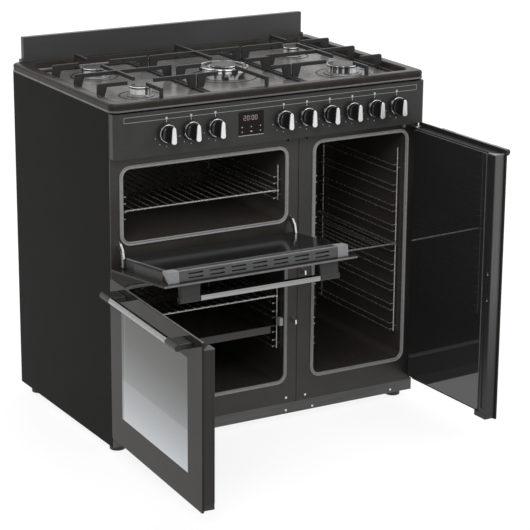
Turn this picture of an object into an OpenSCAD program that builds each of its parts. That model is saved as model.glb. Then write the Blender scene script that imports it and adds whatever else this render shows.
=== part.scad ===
// Freestanding gas range cooker, 900 mm wide, with its three oven doors standing open.
// X runs to the right, Y to the rear and Z up. The origin is on the floor, under the
// centre of the hob. Sizes are in millimetres.

/* [Cabinet] */
// Width of the hob, from side to side
hob_w = 900; // [890:1:920]
// Depth of the hob, from front to back
hob_d = 600; // [580:1:620]
// Height of the hob rim above the floor
hob_h = 900; // [896:1:906]
// Height of the rolled rim of the hob
hob_lip = 22; // [21.5:0.5:24]
// Depth of the burner well below the rim
hob_well = 20; // [18:0.5:20.5]
// Width of the rim round the burner well
hob_rim = 30; // [28:0.5:36]
// Corner radius of the hob
hob_corner = 14; // [8:1:20]
// Radius of the rolled top edge of the hob
hob_roll = 8; // [4:0.5:9]
// Distance from the side of the hob in to the outside of the side panels
body_inset = 3; // [1:0.5:8]
// Distance from the front of the hob back to the front frames
frame_setback = 23; // [21:0.5:26]
// Distance from the back of the hob forward to the back of the side panels
back_setback = 10; // [6:0.5:14]
// Thickness of the outer sheet metal
sheet = 1.5; // [1:0.1:2]
// Height of the feet
foot_h = 20; // [12:0.5:24]
// Diameter of the feet
foot_d = 40; // [30:1:50]
// Height of the bottom edge of the front frames
frame_low = 50; // [46:0.5:54]
// Width of the seam between the two front frames
seam_w = 3; // [2:0.5:4]
// Distance from the middle of that seam to the outside of the right side panel
tall_column_w = 363; // [361:0.5:365]

/* [Splashback] */
// Distance from the side of the hob in to the end of the splashback
splash_inset = 19; // [10:0.5:50]
// Height of the splashback above the hob
splash_h = 66; // [40:1:90]
// Depth of the splashback from front to back
splash_d = 16; // [10:0.5:20]

/* [Ovens] */
// Distance from the side panel to the outer edge of each oven seal
oven_inset = 26; // [24:0.5:28]
// Distance from the seam of the front frames to the edge of the left ovens' seals
left_oven_margin = 30; // [27:0.5:35]
// Width of the tall oven over its seal
tall_oven_w = 292; // [286:0.5:295]
// Distance from the hob rim down to the top of the top oven's seal
top_oven_drop = 158; // [154:0.5:162]
// Height of the top oven over its seal
top_oven_h = 202; // [190:0.5:204]
// Height of the bottom of the main oven's seal
main_oven_low = 106; // [90:0.5:112]
// Distance from the top edge of the main door down to the top of its oven's seal
main_oven_drop = 24; // [22:0.5:36]
// Height of the bottom of the tall oven's seal
tall_oven_low = 109; // [90:0.5:112]
// Distance from the top edge of the tall door down to the top of its oven's seal
tall_oven_drop = 14; // [13:0.5:30]
// Depth of the oven cavities
oven_depth = 425; // [400:1:450]
// Wall thickness of the oven cavities
oven_wall = 1.5; // [1:0.1:2]
// Width of the seals
seal_w = 9.5; // [7:0.5:10]
// Thickness of the seals
seal_t = 4; // [3:0.1:4.5]
// Outer corner radius of the seals
seal_corner = 29; // [20:0.5:34]

/* [Doors] */
// Height of the bottom edge of the two side-hung doors
door_low = 51; // [49:0.5:55]
// Distance from the hob rim down to the top edge of the highest doors
door_drop = 139; // [138.5:0.5:143]
// Distance from the hob rim down to the top edge of the main oven door
main_door_drop = 436; // [435.5:0.5:440]
// Gap between the main oven door and the grill door above it
grill_door_gap = 10; // [7:0.5:13]
// Gap between the two columns of doors
door_seam = 3; // [2:0.5:4]
// Distance that the doors stand past the side panels
door_overhang = 2; // [0:0.5:3]
// Thickness of the outer door panels
panel_t = 5; // [4:0.1:6]
// Depth of the door frames, from the outer panel to the face of the inner glass
frame_depth = 29; // [27:0.5:31]
// Thickness of the inner door glass
glass_t = 4; // [3:0.1:5]
// Distance from the sides and bottom of an outer panel to its door frame
frame_inset = 18; // [16:0.5:20]
// Width of the bars of the door frames
frame_bar = 38; // [30:0.5:44]
// Width of the profile at the free edge of a door
edge_profile = 28; // [22:0.5:34]
// Opening angle of the main oven door as shown
main_open = 93.4; // [80:0.1:96]
// Opening angle of the tall oven door as shown
tall_open = 92; // [80:0.1:96]
// Opening angle of the grill door as shown
grill_open = 83.5; // [80:0.1:83.9]
// Diameter of the hinge pins
pin_d = 6; // [5:0.1:7]
// Radial clearance of the hinge pins in their bores
pin_fit = 0.05; // [0.03:0.01:0.09]

/* [Handles] */
// Diameter of the handle bars
bar_d = 17; // [14:0.5:17.5]
// Distance from the face of a door to the axis of its handle bar
bar_reach = 38; // [34:0.5:38.5]
// Distance from the top edge of a door down to the axis of its bar
bar_drop = 36; // [32:0.5:37]
// Distance from the side edge of a door to the end of its handle
bar_inset = 25; // [20:0.5:40]
// Length of the dark ferrule at each end of a bar
ferrule_l = 25; // [15:0.5:35]
// Length of the bracket at each end of a bar
bracket_l = 45; // [35:0.5:60]

/* [Controls] */
// Distance from the hob rim down to the lower edge of the control panel
fascia_drop = 136; // [134:0.5:136]
// Distance from the top of the control panel up to the underside of the rim
fascia_gap = 3; // [2:0.5:5]
// Distance that the control panel stands forward of the hob's front edge
fascia_proud = 4; // [2:0.5:6]
// Radius of the front corners of the control panel
fascia_corner = 10; // [4:0.5:14]
// Distance from the hob rim down to the middle of the knobs
knob_drop = 82; // [76:0.5:88]
// Distance from the left side of the cabinet to the first knob
left_knob_in = 142; // [130:0.5:147]
// Distance from the right side of the cabinet to the last knob
right_knob_in = 88; // [80:0.5:96]
// Distance between the two knobs beside the clock
clock_bay = 193.6; // [186:0.1:204]
// Diameter of the knob skirts
knob_d = 50; // [44:0.5:54]
// Gap between the knobs and the control panel
knob_gap = 5; // [4.6:0.1:6]
// Distance that a gas knob is pushed in before it turns
knob_push = 4; // [3:0.1:4.2]
// Height of the tapered grip of a knob
grip_h = 45; // [38:0.5:48]
// Width of the clock
clock_w = 71; // [60:0.5:80]
// Height of the clock
clock_h = 58.5; // [50:0.5:64]
// Distance from the knob on its left to the centre of the clock
clock_in = 100.6; // [94:0.1:106]

/* [Burners] */
// Distance from the side of the hob to the left and right burners
burner_in = 155; // [145:1:165]
// Place of the rear burners behind the middle
rear_burner_y = 118; // [105:1:130]
// Place of the front burners in front of the middle
front_burner_y = -145; // [-155:1:-135]
// Place of the wok burner
wok_y = -35; // [-45:1:-25]
// Height of the pan supports above the well
support_h = 40; // [36:0.5:46]
// Thickness of the pan support bars
support_bar = 7; // [5:0.5:9]

/* [Shelves] */
// Diameter of the wire of the shelf frames
shelf_rod = 6; // [4.5:0.1:7]
// Diameter of the cross wires of the shelves
shelf_wire = 3; // [2:0.1:3.5]
// Depth of the shelves from front to back
shelf_d = 380; // [340:1:385]
// Distance between the rungs of the side racks
rung_pitch = 54.5; // [50:0.5:58]

/* [Hidden] */
$fn = 48;
eps = 0.01;

// Planes of the cabinet
side_x = hob_w / 2 - body_inset;
inner_x = side_x - sheet;
seam_x = side_x - tall_column_w;
splash_w = hob_w - 2 * splash_inset;
front_y = -hob_d / 2 + frame_setback;
back_y = hob_d / 2 - back_setback;
well_z = hob_h - hob_well;
well_slope = 4;
lip_z = hob_h - hob_lip;
frame_t = 2;
frame_back = front_y + frame_t;
fascia_low = hob_h - fascia_drop;
knob_z = hob_h - knob_drop;
frame_high = fascia_low + 6;
door_high = hob_h - door_drop;
main_door_high = hob_h - main_door_drop;
grill_door_low = main_door_high + grill_door_gap;
vent_z = hob_h - 340;
vent_pitch = 55;
vent_l = 38;
gland_x = -side_x + 67;
gland_z = hob_h - 200;
gland_r = 5;

// Outer edges of the three oven seals, as [left, right, bottom, top]
top_oven_low = hob_h - top_oven_drop - top_oven_h;
main_oven_h = main_door_high - main_oven_drop - main_oven_low;
tall_oven_h = door_high - tall_oven_drop - tall_oven_low;
top_seal = [-side_x + oven_inset, seam_x - left_oven_margin,
    top_oven_low, top_oven_low + top_oven_h];
main_seal = [top_seal[0], top_seal[1], main_oven_low, main_oven_low + main_oven_h];
tall_seal = [side_x - oven_inset - 4 - tall_oven_w, side_x - oven_inset - 4,
    tall_oven_low, tall_oven_low + tall_oven_h];
cavity_corner = seal_corner - seal_w;
cavity_back = frame_back + oven_depth;
function mouth(seal) = [seal[0] + seal_w, seal[1] - seal_w, seal[2] + seal_w, seal[3] - seal_w];

// Planes of the closed doors
seal_y = front_y - seal_t;
glass_y = seal_y - 1;
panel_y = glass_y - frame_depth;
face_y = panel_y - panel_t;
side_pivot_back = 19;
side_pivot_y = face_y + side_pivot_back;
side_pivot_in = 16;
grill_pivot_back = 11;
grill_pivot_y = face_y + grill_pivot_back;
grill_pivot_up = 24;

// Outer edges of the three outer door panels, as [left, right, bottom, top]
main_door = [-side_x - door_overhang, seam_x - door_seam / 2, door_low, main_door_high];
grill_door = [main_door[0], main_door[1], grill_door_low, door_high];
tall_door = [seam_x + door_seam / 2, side_x + door_overhang, door_low, door_high];
main_pivot = [main_door[0] + side_pivot_in, side_pivot_y, 0];
tall_pivot = [tall_door[1] - side_pivot_in, side_pivot_y, 0];
grill_pivot = [0, grill_pivot_y, grill_door_low + grill_pivot_up];
top_inset_main = 20;
top_inset_grill = 16;
top_inset_tall = 11;
function inner_edges(door, top_inset) =
    [door[0] + frame_inset, door[1] - frame_inset, door[2] + frame_inset, door[3] - top_inset];
main_inner = inner_edges(main_door, top_inset_main);
grill_inner = inner_edges(grill_door, top_inset_grill);
tall_inner = inner_edges(tall_door, top_inset_tall);
main_catch_up = 170;
tall_catch_up = 296;
lug_w = 16;
lug_h = 40;
hinge_plate = 3;
hinge_play = 1;

// Controls
fascia_y = -hob_d / 2 - fascia_proud;
fascia_high = lip_z - fascia_gap;
fascia_x = side_x - 1;
fascia_wall = 2;
knob_back = fascia_y - knob_gap;
skirt_t = 5;
knob_body = 12;
grip_out = 20;
stem_r = 4;
stem_fit = 0.05;
stem_front = knob_back - skirt_t - knob_body + 6;
stem_gap = 0.3;
knob_pitch = (2 * side_x - left_knob_in - clock_bay - right_knob_in) / 7;
left_knob_x = -side_x + left_knob_in;
right_knob_x = left_knob_x + 2 * knob_pitch + clock_bay;
clock_x = left_knob_x + 2 * knob_pitch + clock_in;
oven_knob_x = [left_knob_x, left_knob_x + knob_pitch, left_knob_x + 2 * knob_pitch, right_knob_x];
gas_knob_x = [for (i = [1:5]) right_knob_x + i * knob_pitch];
tap_front = fascia_y + 8;
tap_l = 30;
tap_w = 24;
tap_bore = 22;
rail_y = tap_front + tap_l + 8;
rail_r = 8;
inlet_x = side_x - 29;
inlet_r = 10.5;
inlet_l = 11;
inlet_y = back_y - 1;
inlet_z = knob_z;

// Burners, as [x, y, cup radius, cap radius]
burner_x = hob_w / 2 - burner_in;
burners = [[-burner_x, front_burner_y, 34, 27], [-burner_x, rear_burner_y, 41, 34],
    [burner_x, front_burner_y, 50, 42], [burner_x, rear_burner_y, 27, 21]];
cup_h = 10;
crown_h = 10;
cap_h = 6;
ports = 24;
wok_ring_r = 65;
wok_base_r = 54;
wok_inner_r = 36;
support_z = well_z + support_h;
finger_h = 10;
leg_w = 26;
support_half = hob_w / 2 - hob_rim - well_slope - 3;
support_gap = 4;
support_w = (2 * support_half - 2 * support_gap) / 3;
support_front = -hob_d / 2 + hob_rim + well_slope + 3;
support_rear = hob_d / 2 - hob_rim - splash_d - 22;

// Ladder racks
rung_r = 1.75;
stub_r = 1.55;
rail_wire_r = 2.25;
rung_pair = 17;
rung_reach = 12;
rack_inset = 6;
rack_front = front_y + 25;
rack_back = cavity_back - 35;
shelf_play = 0.3;
tall_rung_up = 83;
tall_rung_low = tall_oven_low + tall_rung_up;
tall_rungs = floor((tall_oven_h - tall_rung_up - 60) / rung_pitch);
main_pitch = 39;
main_rung_up = 98;
main_rung_low = main_oven_low + main_rung_up;
main_rungs = floor((main_oven_h - main_rung_up - 60) / main_pitch);
top_rungs = 2;
top_rung_low = top_oven_low + 61;
shelf_front = front_y + 15;

// Fans
fan_r = 92;
fan_depth = 26;
fan_y = [cavity_back - oven_wall - fan_depth, cavity_back - oven_wall];
shaft_r = 4;
motor_y = cavity_back + 3;
tall_fan_up = tall_oven_h - 238;

// Squares, blocks and rods between named planes
module block(x, y, z) translate([x[0], y[0], z[0]])
    cube([x[1] - x[0], y[1] - y[0], z[1] - z[0]]);
module rod_x(x, y, z, r) translate([x[0], y, z]) rotate([0, 90, 0]) cylinder(h = x[1] - x[0], r = r);
module rod_y(x, y, z, r) translate([x, y[1], z]) rotate([90, 0, 0]) cylinder(h = y[1] - y[0], r = r);
module rod_z(x, y, z, r) translate([x, y, z[0]]) cylinder(h = z[1] - z[0], r = r);
module slab(y) translate([0, y[1], 0]) rotate([90, 0, 0]) linear_extrude(height = y[1] - y[0]) children();
module rect(e) translate([e[0], e[2]]) square([e[1] - e[0], e[3] - e[2]]);
function grown(e, d) = [e[0] - d, e[1] + d, e[2] - d, e[3] + d];

module round_rect(e, r) {
    translate([e[0] + r, e[2]]) square([e[1] - e[0] - 2 * r, e[3] - e[2]]);
    translate([e[0], e[2] + r]) square([e[1] - e[0], e[3] - e[2] - 2 * r]);
    for (x = [e[0] + r, e[1] - r], z = [e[2] + r, e[3] - r]) translate([x, z]) circle(r);
}

module turned(pivot, angles) translate(pivot) rotate(angles) translate(-pivot) children();
module main_swing() turned(main_pivot, [0, 0, -main_open]) children();
module tall_swing() turned(tall_pivot, [0, 0, tall_open]) children();
module grill_swing() turned(grill_pivot, [grill_open, 0, 0]) children();

// Cabinet
module side_panels() color("#242321") for (s = [0, 1]) mirror([s, 0, 0])
    translate([0, 0, foot_h]) linear_extrude(height = lip_z - foot_h) {
        translate([inner_x, front_y]) square([sheet, back_y - front_y]);
        translate([side_x - 15, back_y - sheet]) square([15, sheet]);
    }

module back_panel() {
    y = [back_y - 2 * sheet, back_y - sheet];
    color("#6f7173") difference() {
        slab(y) difference() {
            rect([-inner_x, inner_x, foot_h + 10, lip_z - 6]);
            for (row = [0, 1, 2], i = [-6:6]) translate([i * vent_pitch - 20, vent_z + row * 90])
                square([vent_l, 6]);
            translate([inlet_x, inlet_z]) circle(inlet_r + 2);
            translate([gland_x, gland_z]) circle(gland_r + 4);
        }
    }
    color("#151515") difference() {
        union() {
            rod_y(gland_x, [y[1], y[1] + 8], gland_z, gland_r + 8);
            rod_y(gland_x, [y[0], y[1]], gland_z, gland_r + 4);
        }
        rod_y(gland_x, [y[0] - 1, y[1] + 9], gland_z, gland_r);
    }
}

module base_tray() color("#55585a") {
    z = foot_h + 10;
    block([-inner_x, inner_x], [frame_back, back_y - 2 * sheet], [z, z + sheet]);
    block([-inner_x, inner_x], [frame_back, frame_back + sheet], [z + sheet, z + 20]);
}

module plinth() color("#4b4b49") {
    block([-inner_x, inner_x], [frame_back, frame_back + sheet], [foot_h, foot_h + 10]);
    block([-inner_x, inner_x], [frame_back - 1.2, frame_back], [foot_h, frame_low]);
}

module feet() color("#101010")
    for (x = [-side_x + 32, side_x - 32], y = [front_y + 42, back_y - 45]) {
        rod_z(x, y, [0, 12], foot_d / 2);
        rod_z(x, y, [12, foot_h + 10], foot_d / 3);
    }

module frame_sheet(x) difference() {
    slab([front_y, frame_back]) rect([x[0], x[1], frame_low, frame_high]);
    for (seal = [top_seal, main_seal, tall_seal]) slab([front_y - 1, frame_back + 1])
        round_rect(mouth(seal), cavity_corner);
}

module front_frames() {
    color("#3c3a37") frame_sheet([-inner_x, seam_x - seam_w / 2]);
    color("#3c3a37") frame_sheet([seam_x + seam_w / 2, inner_x]);
    color("#101010") block([seam_x - 12, seam_x + 12], [frame_back, frame_back + 2],
        [frame_low, frame_high]);
}

// The rounded outer body of the hob, one quarter-round ring in each corner
module hob_body(w, d, low, high, corner, roll) hull()
    for (x = [-1, 1], y = [-1, 1]) translate([x * (w / 2 - corner), y * (d / 2 - corner), 0]) {
        translate([0, 0, low]) cylinder(h = high - roll - low, r = corner, $fn = 32);
        translate([0, 0, high - roll]) rotate_extrude($fn = 32) intersection() {
            union() {
                square([corner - roll, roll]);
                translate([corner - roll, 0]) circle(roll, $fn = 24);
            }
            square([corner, roll]);
        }
    }

module plan(w, d, r) round_rect([-w / 2, w / 2, -d / 2, d / 2], r);

module hob_top() color("#1d1c1b") difference() {
    well_w = hob_w - 2 * hob_rim;
    well_d = hob_d - 2 * hob_rim;
    hob_body(hob_w, hob_d, lip_z, hob_h, hob_corner, hob_roll);
    hull() {
        translate([0, 0, well_z]) linear_extrude(height = eps) plan(well_w - 2 * well_slope,
            well_d - 2 * well_slope, 22);
        translate([0, 0, hob_h]) linear_extrude(height = 1) plan(well_w, well_d, 26);
    }
    translate([0, 0, lip_z - 1]) linear_extrude(height = hob_lip - 2) difference() {
        plan(hob_w - 5, hob_d - 5, hob_corner - 2);
        plan(well_w + 1, well_d + 1, 27);
    }
    for (b = burners) translate([b[0], b[1], 0]) rod_z(0, 0, [lip_z - 1, hob_h], b[3] - 4);
    rod_z(0, wok_y, [lip_z - 1, hob_h], wok_inner_r - 4);
}

module splashback() {
    y = hob_d / 2 - 6 - splash_d;
    w = splash_w / 2;
    color("#242424") difference() {
        block([-w, w], [y, y + splash_d], [hob_h, hob_h + splash_h]);
        block([-w + sheet, w - sheet], [y + sheet, y + splash_d + 1],
            [hob_h - 1, hob_h + splash_h - sheet]);
    }
    color("#161616") for (s = [-1, 1]) translate([s * (w + 3), y + splash_d / 2, hob_h])
        linear_extrude(height = 8) difference() {
            square([6, splash_d + 4], center = true);
            circle(1.5);
        }
}

// Control panel, clock and the parts behind them
module fascia_outline(inset) {
    x = fascia_x - inset;
    y = fascia_y + inset;
    r = fascia_corner - inset;
    translate([-x, y + r]) square([2 * x, front_y - y - r]);
    translate([-x + r, y]) square([2 * (x - r), r]);
    for (s = [-1, 1]) translate([s * (x - r), y + r]) circle(r);
}

module control_panel() color("#30332f") difference() {
    translate([0, 0, fascia_low]) linear_extrude(height = fascia_high - fascia_low)
        fascia_outline(0);
    translate([0, 0, fascia_low + fascia_wall])
        linear_extrude(height = fascia_high - fascia_low - 2 * fascia_wall)
            union() {
                fascia_outline(fascia_wall);
                translate([-fascia_x + fascia_wall, front_y - 1])
                    square([2 * (fascia_x - fascia_wall), 2]);
            }
    for (x = concat(oven_knob_x, gas_knob_x))
        rod_y(x, [fascia_y - 1, fascia_y + fascia_wall + 1], knob_z, stem_r + 2.5);
    block([clock_x - clock_w / 2 + 2, clock_x + clock_w / 2 - 2],
        [fascia_y - 1, fascia_y + fascia_wall + 1],
        [knob_z - clock_h / 2 + 2, knob_z + clock_h / 2 - 2]);
}

module timer_display() {
    w = clock_w / 2;
    h = clock_h / 2;
    color("#1b1110") {
        slab([fascia_y - 1, fascia_y]) round_rect([clock_x - w, clock_x + w, knob_z - h, knob_z + h], 2);
        slab([fascia_y, fascia_y + 14]) rect([clock_x - w + 2.2, clock_x + w - 2.2,
            knob_z - h + 2.2, knob_z + h - 2.2]);
    }
}

module stem(x, y) rod_y(x, y, knob_z, stem_r);

module gas_rail() {
    tap_y = [tap_front, tap_front + tap_l];
    color("#b9a15c") difference() {
        union() {
            for (x = gas_knob_x) {
                block([x - tap_w / 2, x + tap_w / 2], tap_y, [knob_z - tap_w / 2, knob_z + tap_w / 2]);
                block([x - 10, x + 10], [fascia_y + fascia_wall, tap_front], [knob_z - 7, knob_z + 7]);
                rod_y(x, [tap_y[1] - 1, rail_y], knob_z, 5);
            }
            rod_x([gas_knob_x[0] - 30, inlet_x], rail_y, knob_z, rail_r);
            rod_y(inlet_x, [rail_y - rail_r, inlet_y + 1], inlet_z, rail_r + 0.5);
            rod_y(inlet_x, [inlet_y, inlet_y + inlet_l], inlet_z, inlet_r);
        }
        for (x = gas_knob_x) rod_y(x, [fascia_y + fascia_wall - 1, tap_front + tap_bore], knob_z,
            stem_r + stem_fit);
        rod_y(inlet_x, [back_y - 60, back_y + inlet_l], inlet_z, 6);
    }
}

module oven_switches() for (x = oven_knob_x) {
    color("#2b2b2b") block([x - 17, x + 17], [fascia_y + 6, fascia_y + 26], [knob_z - 17, knob_z + 17]);
    color("silver") stem(x, [stem_front + stem_gap, fascia_y + 6]);
    color("silver") block([x - 20, x + 20], [fascia_y + fascia_wall, fascia_y + 6],
        [knob_z - 6, knob_z + 6]);
}

// Knob with a thin skirt, a round body and a tapered standing grip
module knob(x) {
    color("#121212") difference() {
        union() {
            rod_y(x, [knob_back - skirt_t, knob_back], knob_z, knob_d / 2);
            rod_y(x, [knob_back - skirt_t - knob_body, knob_back - skirt_t], knob_z, knob_d / 2 - 4);
            translate([x, knob_back - skirt_t - knob_body, knob_z]) rotate([90, 0, 0])
                linear_extrude(height = grip_out) polygon([[-6.5, -grip_h / 2 + 4],
                    [-4.5, -grip_h / 2], [4.5, -grip_h / 2], [6.5, -grip_h / 2 + 4],
                    [3.5, grip_h / 2 - 2], [2, grip_h / 2], [-2, grip_h / 2],
                    [-3.5, grip_h / 2 - 2]]);
        }
        rod_y(x, [stem_front, knob_back + 1], knob_z, stem_r + stem_fit);
    }
}

module spindle(x) color("silver") stem(x, [stem_front + stem_gap, tap_front + tap_bore - knob_push - 1]);

// Oven cavities
module liner(seal) {
    m = mouth(seal);
    color("#141414") difference() {
        slab([frame_back, cavity_back]) round_rect(grown(m, oven_wall), cavity_corner + oven_wall);
        slab([frame_back - 1, cavity_back - oven_wall]) round_rect(m, cavity_corner);
        children();
    }
}

module fan_hole(at) rod_y(at[0], [cavity_back - oven_wall - 1, cavity_back + 1], at[1], 8);
function middle(seal, up) = [(seal[0] + seal[1]) / 2, seal[2] + up];
main_fan = middle(main_seal, main_oven_h / 2);
tall_fan = middle(tall_seal, tall_fan_up);

module top_oven_liner() liner(top_seal);
module main_oven_liner() liner(main_seal) fan_hole(main_fan);
module tall_oven_liner() liner(tall_seal) fan_hole(tall_fan);

module oven_seals() color("#8d8d8b") for (seal = [top_seal, main_seal, tall_seal])
    slab([seal_y, front_y]) difference() {
        round_rect(seal, seal_corner);
        round_rect(mouth(seal), cavity_corner);
    }

// Grill element, a tube that runs forward and back in three loops below the cavity roof
module grill_element() color("#3a3a3c") {
    r = 4;
    z = top_seal[3] - seal_w - 18;
    mid = (top_seal[0] + top_seal[1]) / 2;
    lane = 44;
    near = front_y + 120;
    far = cavity_back - 60;
    for (i = [-3:2]) rod_y(mid + (i + 0.5) * lane,
        [near, (i == -3 || i == 2) ? cavity_back - oven_wall : far], z, r);
    for (i = [-2, 0, 2]) loop_end(mid + i * lane, near, z, lane / 2, r, 180);
    for (i = [-1, 1]) loop_end(mid + i * lane, far, z, lane / 2, r, 0);
}

module loop_end(x, y, z, bend, r, turn) translate([x, y, z]) rotate([0, 0, turn])
    rotate_extrude(angle = 180, $fn = 32) translate([bend, 0]) circle(r, $fn = 16);

// One side rack: two uprights with pairs of rungs that stand off into the oven
module rack(x, side, low, count, pitch) {
    rail_x = x - side * rack_inset;
    rung_x = rail_x - side * rung_reach;
    top = low + count * pitch;
    color("#b4b4b2") union() {
        for (y = [rack_front, rack_back]) rod_z(rail_x, y, [low - 6, top + rung_pair / 2], rail_wire_r);
        for (i = [0:count - 1], k = [0, 1]) {
            z = low + i * pitch + k * rung_pair;
            rod_y(rung_x, [rack_front - 1.6, rack_back + 1.6], z, rung_r);
            for (y = [rack_front, rack_back])
                rod_x([min(rail_x, rung_x), max(rail_x, rung_x)], y, z, stub_r);
        }
        for (y = [rack_front, rack_back], z = [low, low + (count - 1) * pitch])
            rod_x([min(rail_x, x), max(rail_x, x)], y, z + 8, stub_r + 0.3);
    }
}

module ladder_racks() {
    t = mouth(tall_seal);
    m = mouth(main_seal);
    for (side = [-1, 1]) {
        rack(side < 0 ? t[0] : t[1], side, tall_rung_low, tall_rungs, rung_pitch);
        rack(side < 0 ? m[0] : m[1], side, main_rung_low, main_rungs, main_pitch);
    }
    for (side = [-1, 1]) rack(side < 0 ? m[0] : m[1], side, top_rung_low, top_rungs, main_pitch);
}

module fan_cover(at) color("#1f1f20") difference() {
    rod_y(at[0], fan_y, at[1], fan_r);
    rod_y(at[0], [fan_y[0] + 1.5, fan_y[1] + 1], at[1], fan_r - 1.5);
    for (i = [0:11]) translate([at[0], fan_y[0], at[1]]) rotate([0, i * 30, 0])
        translate([18, -1, -3]) cube([36, 4, 6]);
    for (i = [0:7]) translate([at[0], fan_y[0], at[1]]) rotate([0, i * 45 + 15, 0])
        translate([fan_r - 6, 6, -16]) cube([12, 20, 32]);
}

module fan_covers() {
    fan_cover(main_fan);
    fan_cover(tall_fan);
}

module fan_motor(at) color("#8b8d90") {
    difference() {
        block([at[0] - 45, at[0] + 45], [cavity_back, motor_y], [at[1] - 45, at[1] + 45]);
        rod_y(at[0], [cavity_back - 1, motor_y + 1], at[1], 8);
    }
    difference() {
        rod_y(at[0], [motor_y, motor_y + 55], at[1], 34);
        rod_y(at[0], [cavity_back + 2, cavity_back + 20], at[1], shaft_r);
    }
    rod_y(at[0], [fan_y[0] + 10, cavity_back + 20], at[1], shaft_r);
}

module fan_motors() {
    fan_motor(main_fan);
    fan_motor(tall_fan);
}

module fan_blade(at) color("#7d7f81") {
    y = [fan_y[0] + 6, fan_y[1] - 5];
    disc_t = 1.5;
    difference() {
        union() {
            rod_y(at[0], y, at[1], 11);
            rod_y(at[0], [y[1] - disc_t, y[1]], at[1], 60);
            for (i = [0:8]) translate([at[0], y[0] + 2, at[1]]) rotate([0, i * 40, 0])
                translate([32, 0, 0]) rotate([0, 25, 0])
                    cube([26, y[1] - y[0] - 2 - disc_t / 2, 1.2]);
        }
        rod_y(at[0], [fan_y[0] + 9, y[1] + 1], at[1], shaft_r + stem_fit);
    }
}

// Shelves
function shelf_span(m) = [m[0] + rack_inset + rail_wire_r + shelf_play + 1,
    m[1] - rack_inset - rail_wire_r - shelf_play - 1];
module wire_shelf(m, z, wires) color("#c9c9c7") {
    x = shelf_span(m);
    r = shelf_rod / 2;
    y = [shelf_front, shelf_front + shelf_d];
    for (xe = [x[0] + r, x[1] - r]) rod_y(xe, [y[0] - 2, y[1] + 2], z + r, r);
    for (ye = [y[0] + r, y[1] - r]) rod_x([x[0] + r, x[1] - r], ye, z + r, r - 0.3);
    for (i = [1:wires]) rod_y(x[0] + r + i * (x[1] - x[0] - 2 * r) / (wires + 1),
        [y[0] + 1, y[1] - 1], z + 2 * r - 0.6, shelf_wire / 2);
}

// Height of a shelf that rests on the upper wire of a pair of rungs
function shelf_level(low, i, pitch) = low + i * pitch + rung_pair + rung_r + shelf_play;

module grill_shelf() wire_shelf(mouth(top_seal), shelf_level(top_rung_low, 0, main_pitch), 17);
module main_shelf() wire_shelf(mouth(main_seal),
    shelf_level(main_rung_low, main_rungs - 1, main_pitch), 17);
module tall_shelf() wire_shelf(mouth(tall_seal),
    shelf_level(tall_rung_low, floor(tall_rungs / 2), rung_pitch), 11);

// Enamelled tray, its rim hung on the rungs and its pan between them
module main_tray() {
    x = shelf_span(mouth(main_seal));
    y = [shelf_front, shelf_front + shelf_d];
    z = shelf_level(main_rung_low, max(main_rungs - 3, 0), main_pitch);
    pan = rung_reach + 5;
    deep = 20;
    color("#2a2a2c") difference() {
        union() {
            block(x, y, [z, z + 1.5]);
            block([x[0] + pan, x[1] - pan], [y[0] + 6, y[1] - 6], [z - deep, z + 1]);
        }
        block([x[0] + pan + 1.5, x[1] - pan - 1.5], [y[0] + 7.5, y[1] - 7.5],
            [z - deep + 1.5, z + 2]);
    }
}

// Burners, each with a cup on the well, a crown with flame ports and a cap
module ring_z(z, outer, inner) difference() {
    cylinder(h = z[1] - z[0], r = outer);
    translate([0, 0, -1]) cylinder(h = z[1] - z[0] + 2, r = inner);
}

module at_burner(b, z) translate([b[0], b[1], z]) children();
wok_z = [well_z, well_z + 17, well_z + 25, well_z + 32];

module burner_cups() {
    for (b = burners) color("#c4c5c6") at_burner(b, well_z) difference() {
        union() {
            cylinder(h = 3, r = b[2]);
            cylinder(h = cup_h, r = b[3] + 2);
        }
        translate([0, 0, -1]) cylinder(h = cup_h + 2, r = b[3] - 5);
    }
    color("#c4c5c6") translate([0, wok_y, wok_z[0]]) difference() {
        union() {
            cylinder(h = wok_z[1] - wok_z[0], r1 = wok_base_r, r2 = wok_ring_r - 3);
            translate([0, 0, wok_z[1] - wok_z[0]]) cylinder(h = 3, r = wok_ring_r);
        }
        translate([0, 0, -1]) cylinder(h = 30, r = wok_inner_r - 5);
        translate([0, 0, 8]) cylinder(h = 30, r1 = wok_base_r - 8, r2 = wok_ring_r - 8);
    }
}

module crown(r, h, n) difference() {
    cylinder(h = h, r = r);
    translate([0, 0, -1]) cylinder(h = h + 2, r = r - 6);
    for (i = [0:n - 1]) rotate([0, 0, i * 360 / n]) translate([r - 8, -1, h * 0.45])
        cube([10, 2, h]);
}

module burner_crowns() color("#9a9b9c") {
    for (b = burners) at_burner(b, well_z + cup_h) crown(b[3], crown_h, ports);
    translate([0, wok_y, wok_z[0] + 8]) difference() {
        cylinder(h = wok_z[2] - wok_z[0] - 8, r = wok_inner_r);
        translate([0, 0, -1]) cylinder(h = 30, r = wok_inner_r - 5);
    }
    translate([0, wok_y, wok_z[1] + 3]) difference() {
        cylinder(h = wok_z[2] - wok_z[1] - 3, r = wok_ring_r - 1);
        translate([0, 0, -1]) cylinder(h = 30, r = wok_ring_r - 9);
        for (i = [0:35]) rotate([0, 0, i * 10]) translate([wok_ring_r - 12, -1, 2.5]) cube([14, 2, 6]);
    }
}

module cap(r, h) {
    cylinder(h = h - 2.5, r = r);
    translate([0, 0, h - 2.5]) cylinder(h = 2.5, r1 = r, r2 = r - 3.5);
}

module burner_caps() color("#2c2c2d") {
    for (b = burners) at_burner(b, well_z + cup_h + crown_h) cap(b[3] + 1, cap_h);
    translate([0, wok_y, wok_z[2]]) cap(wok_inner_r - 1, wok_z[3] - wok_z[2]);
    translate([0, wok_y, wok_z[2]]) ring_z([0, 3.5], wok_ring_r, wok_ring_r - 15);
}

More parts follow.
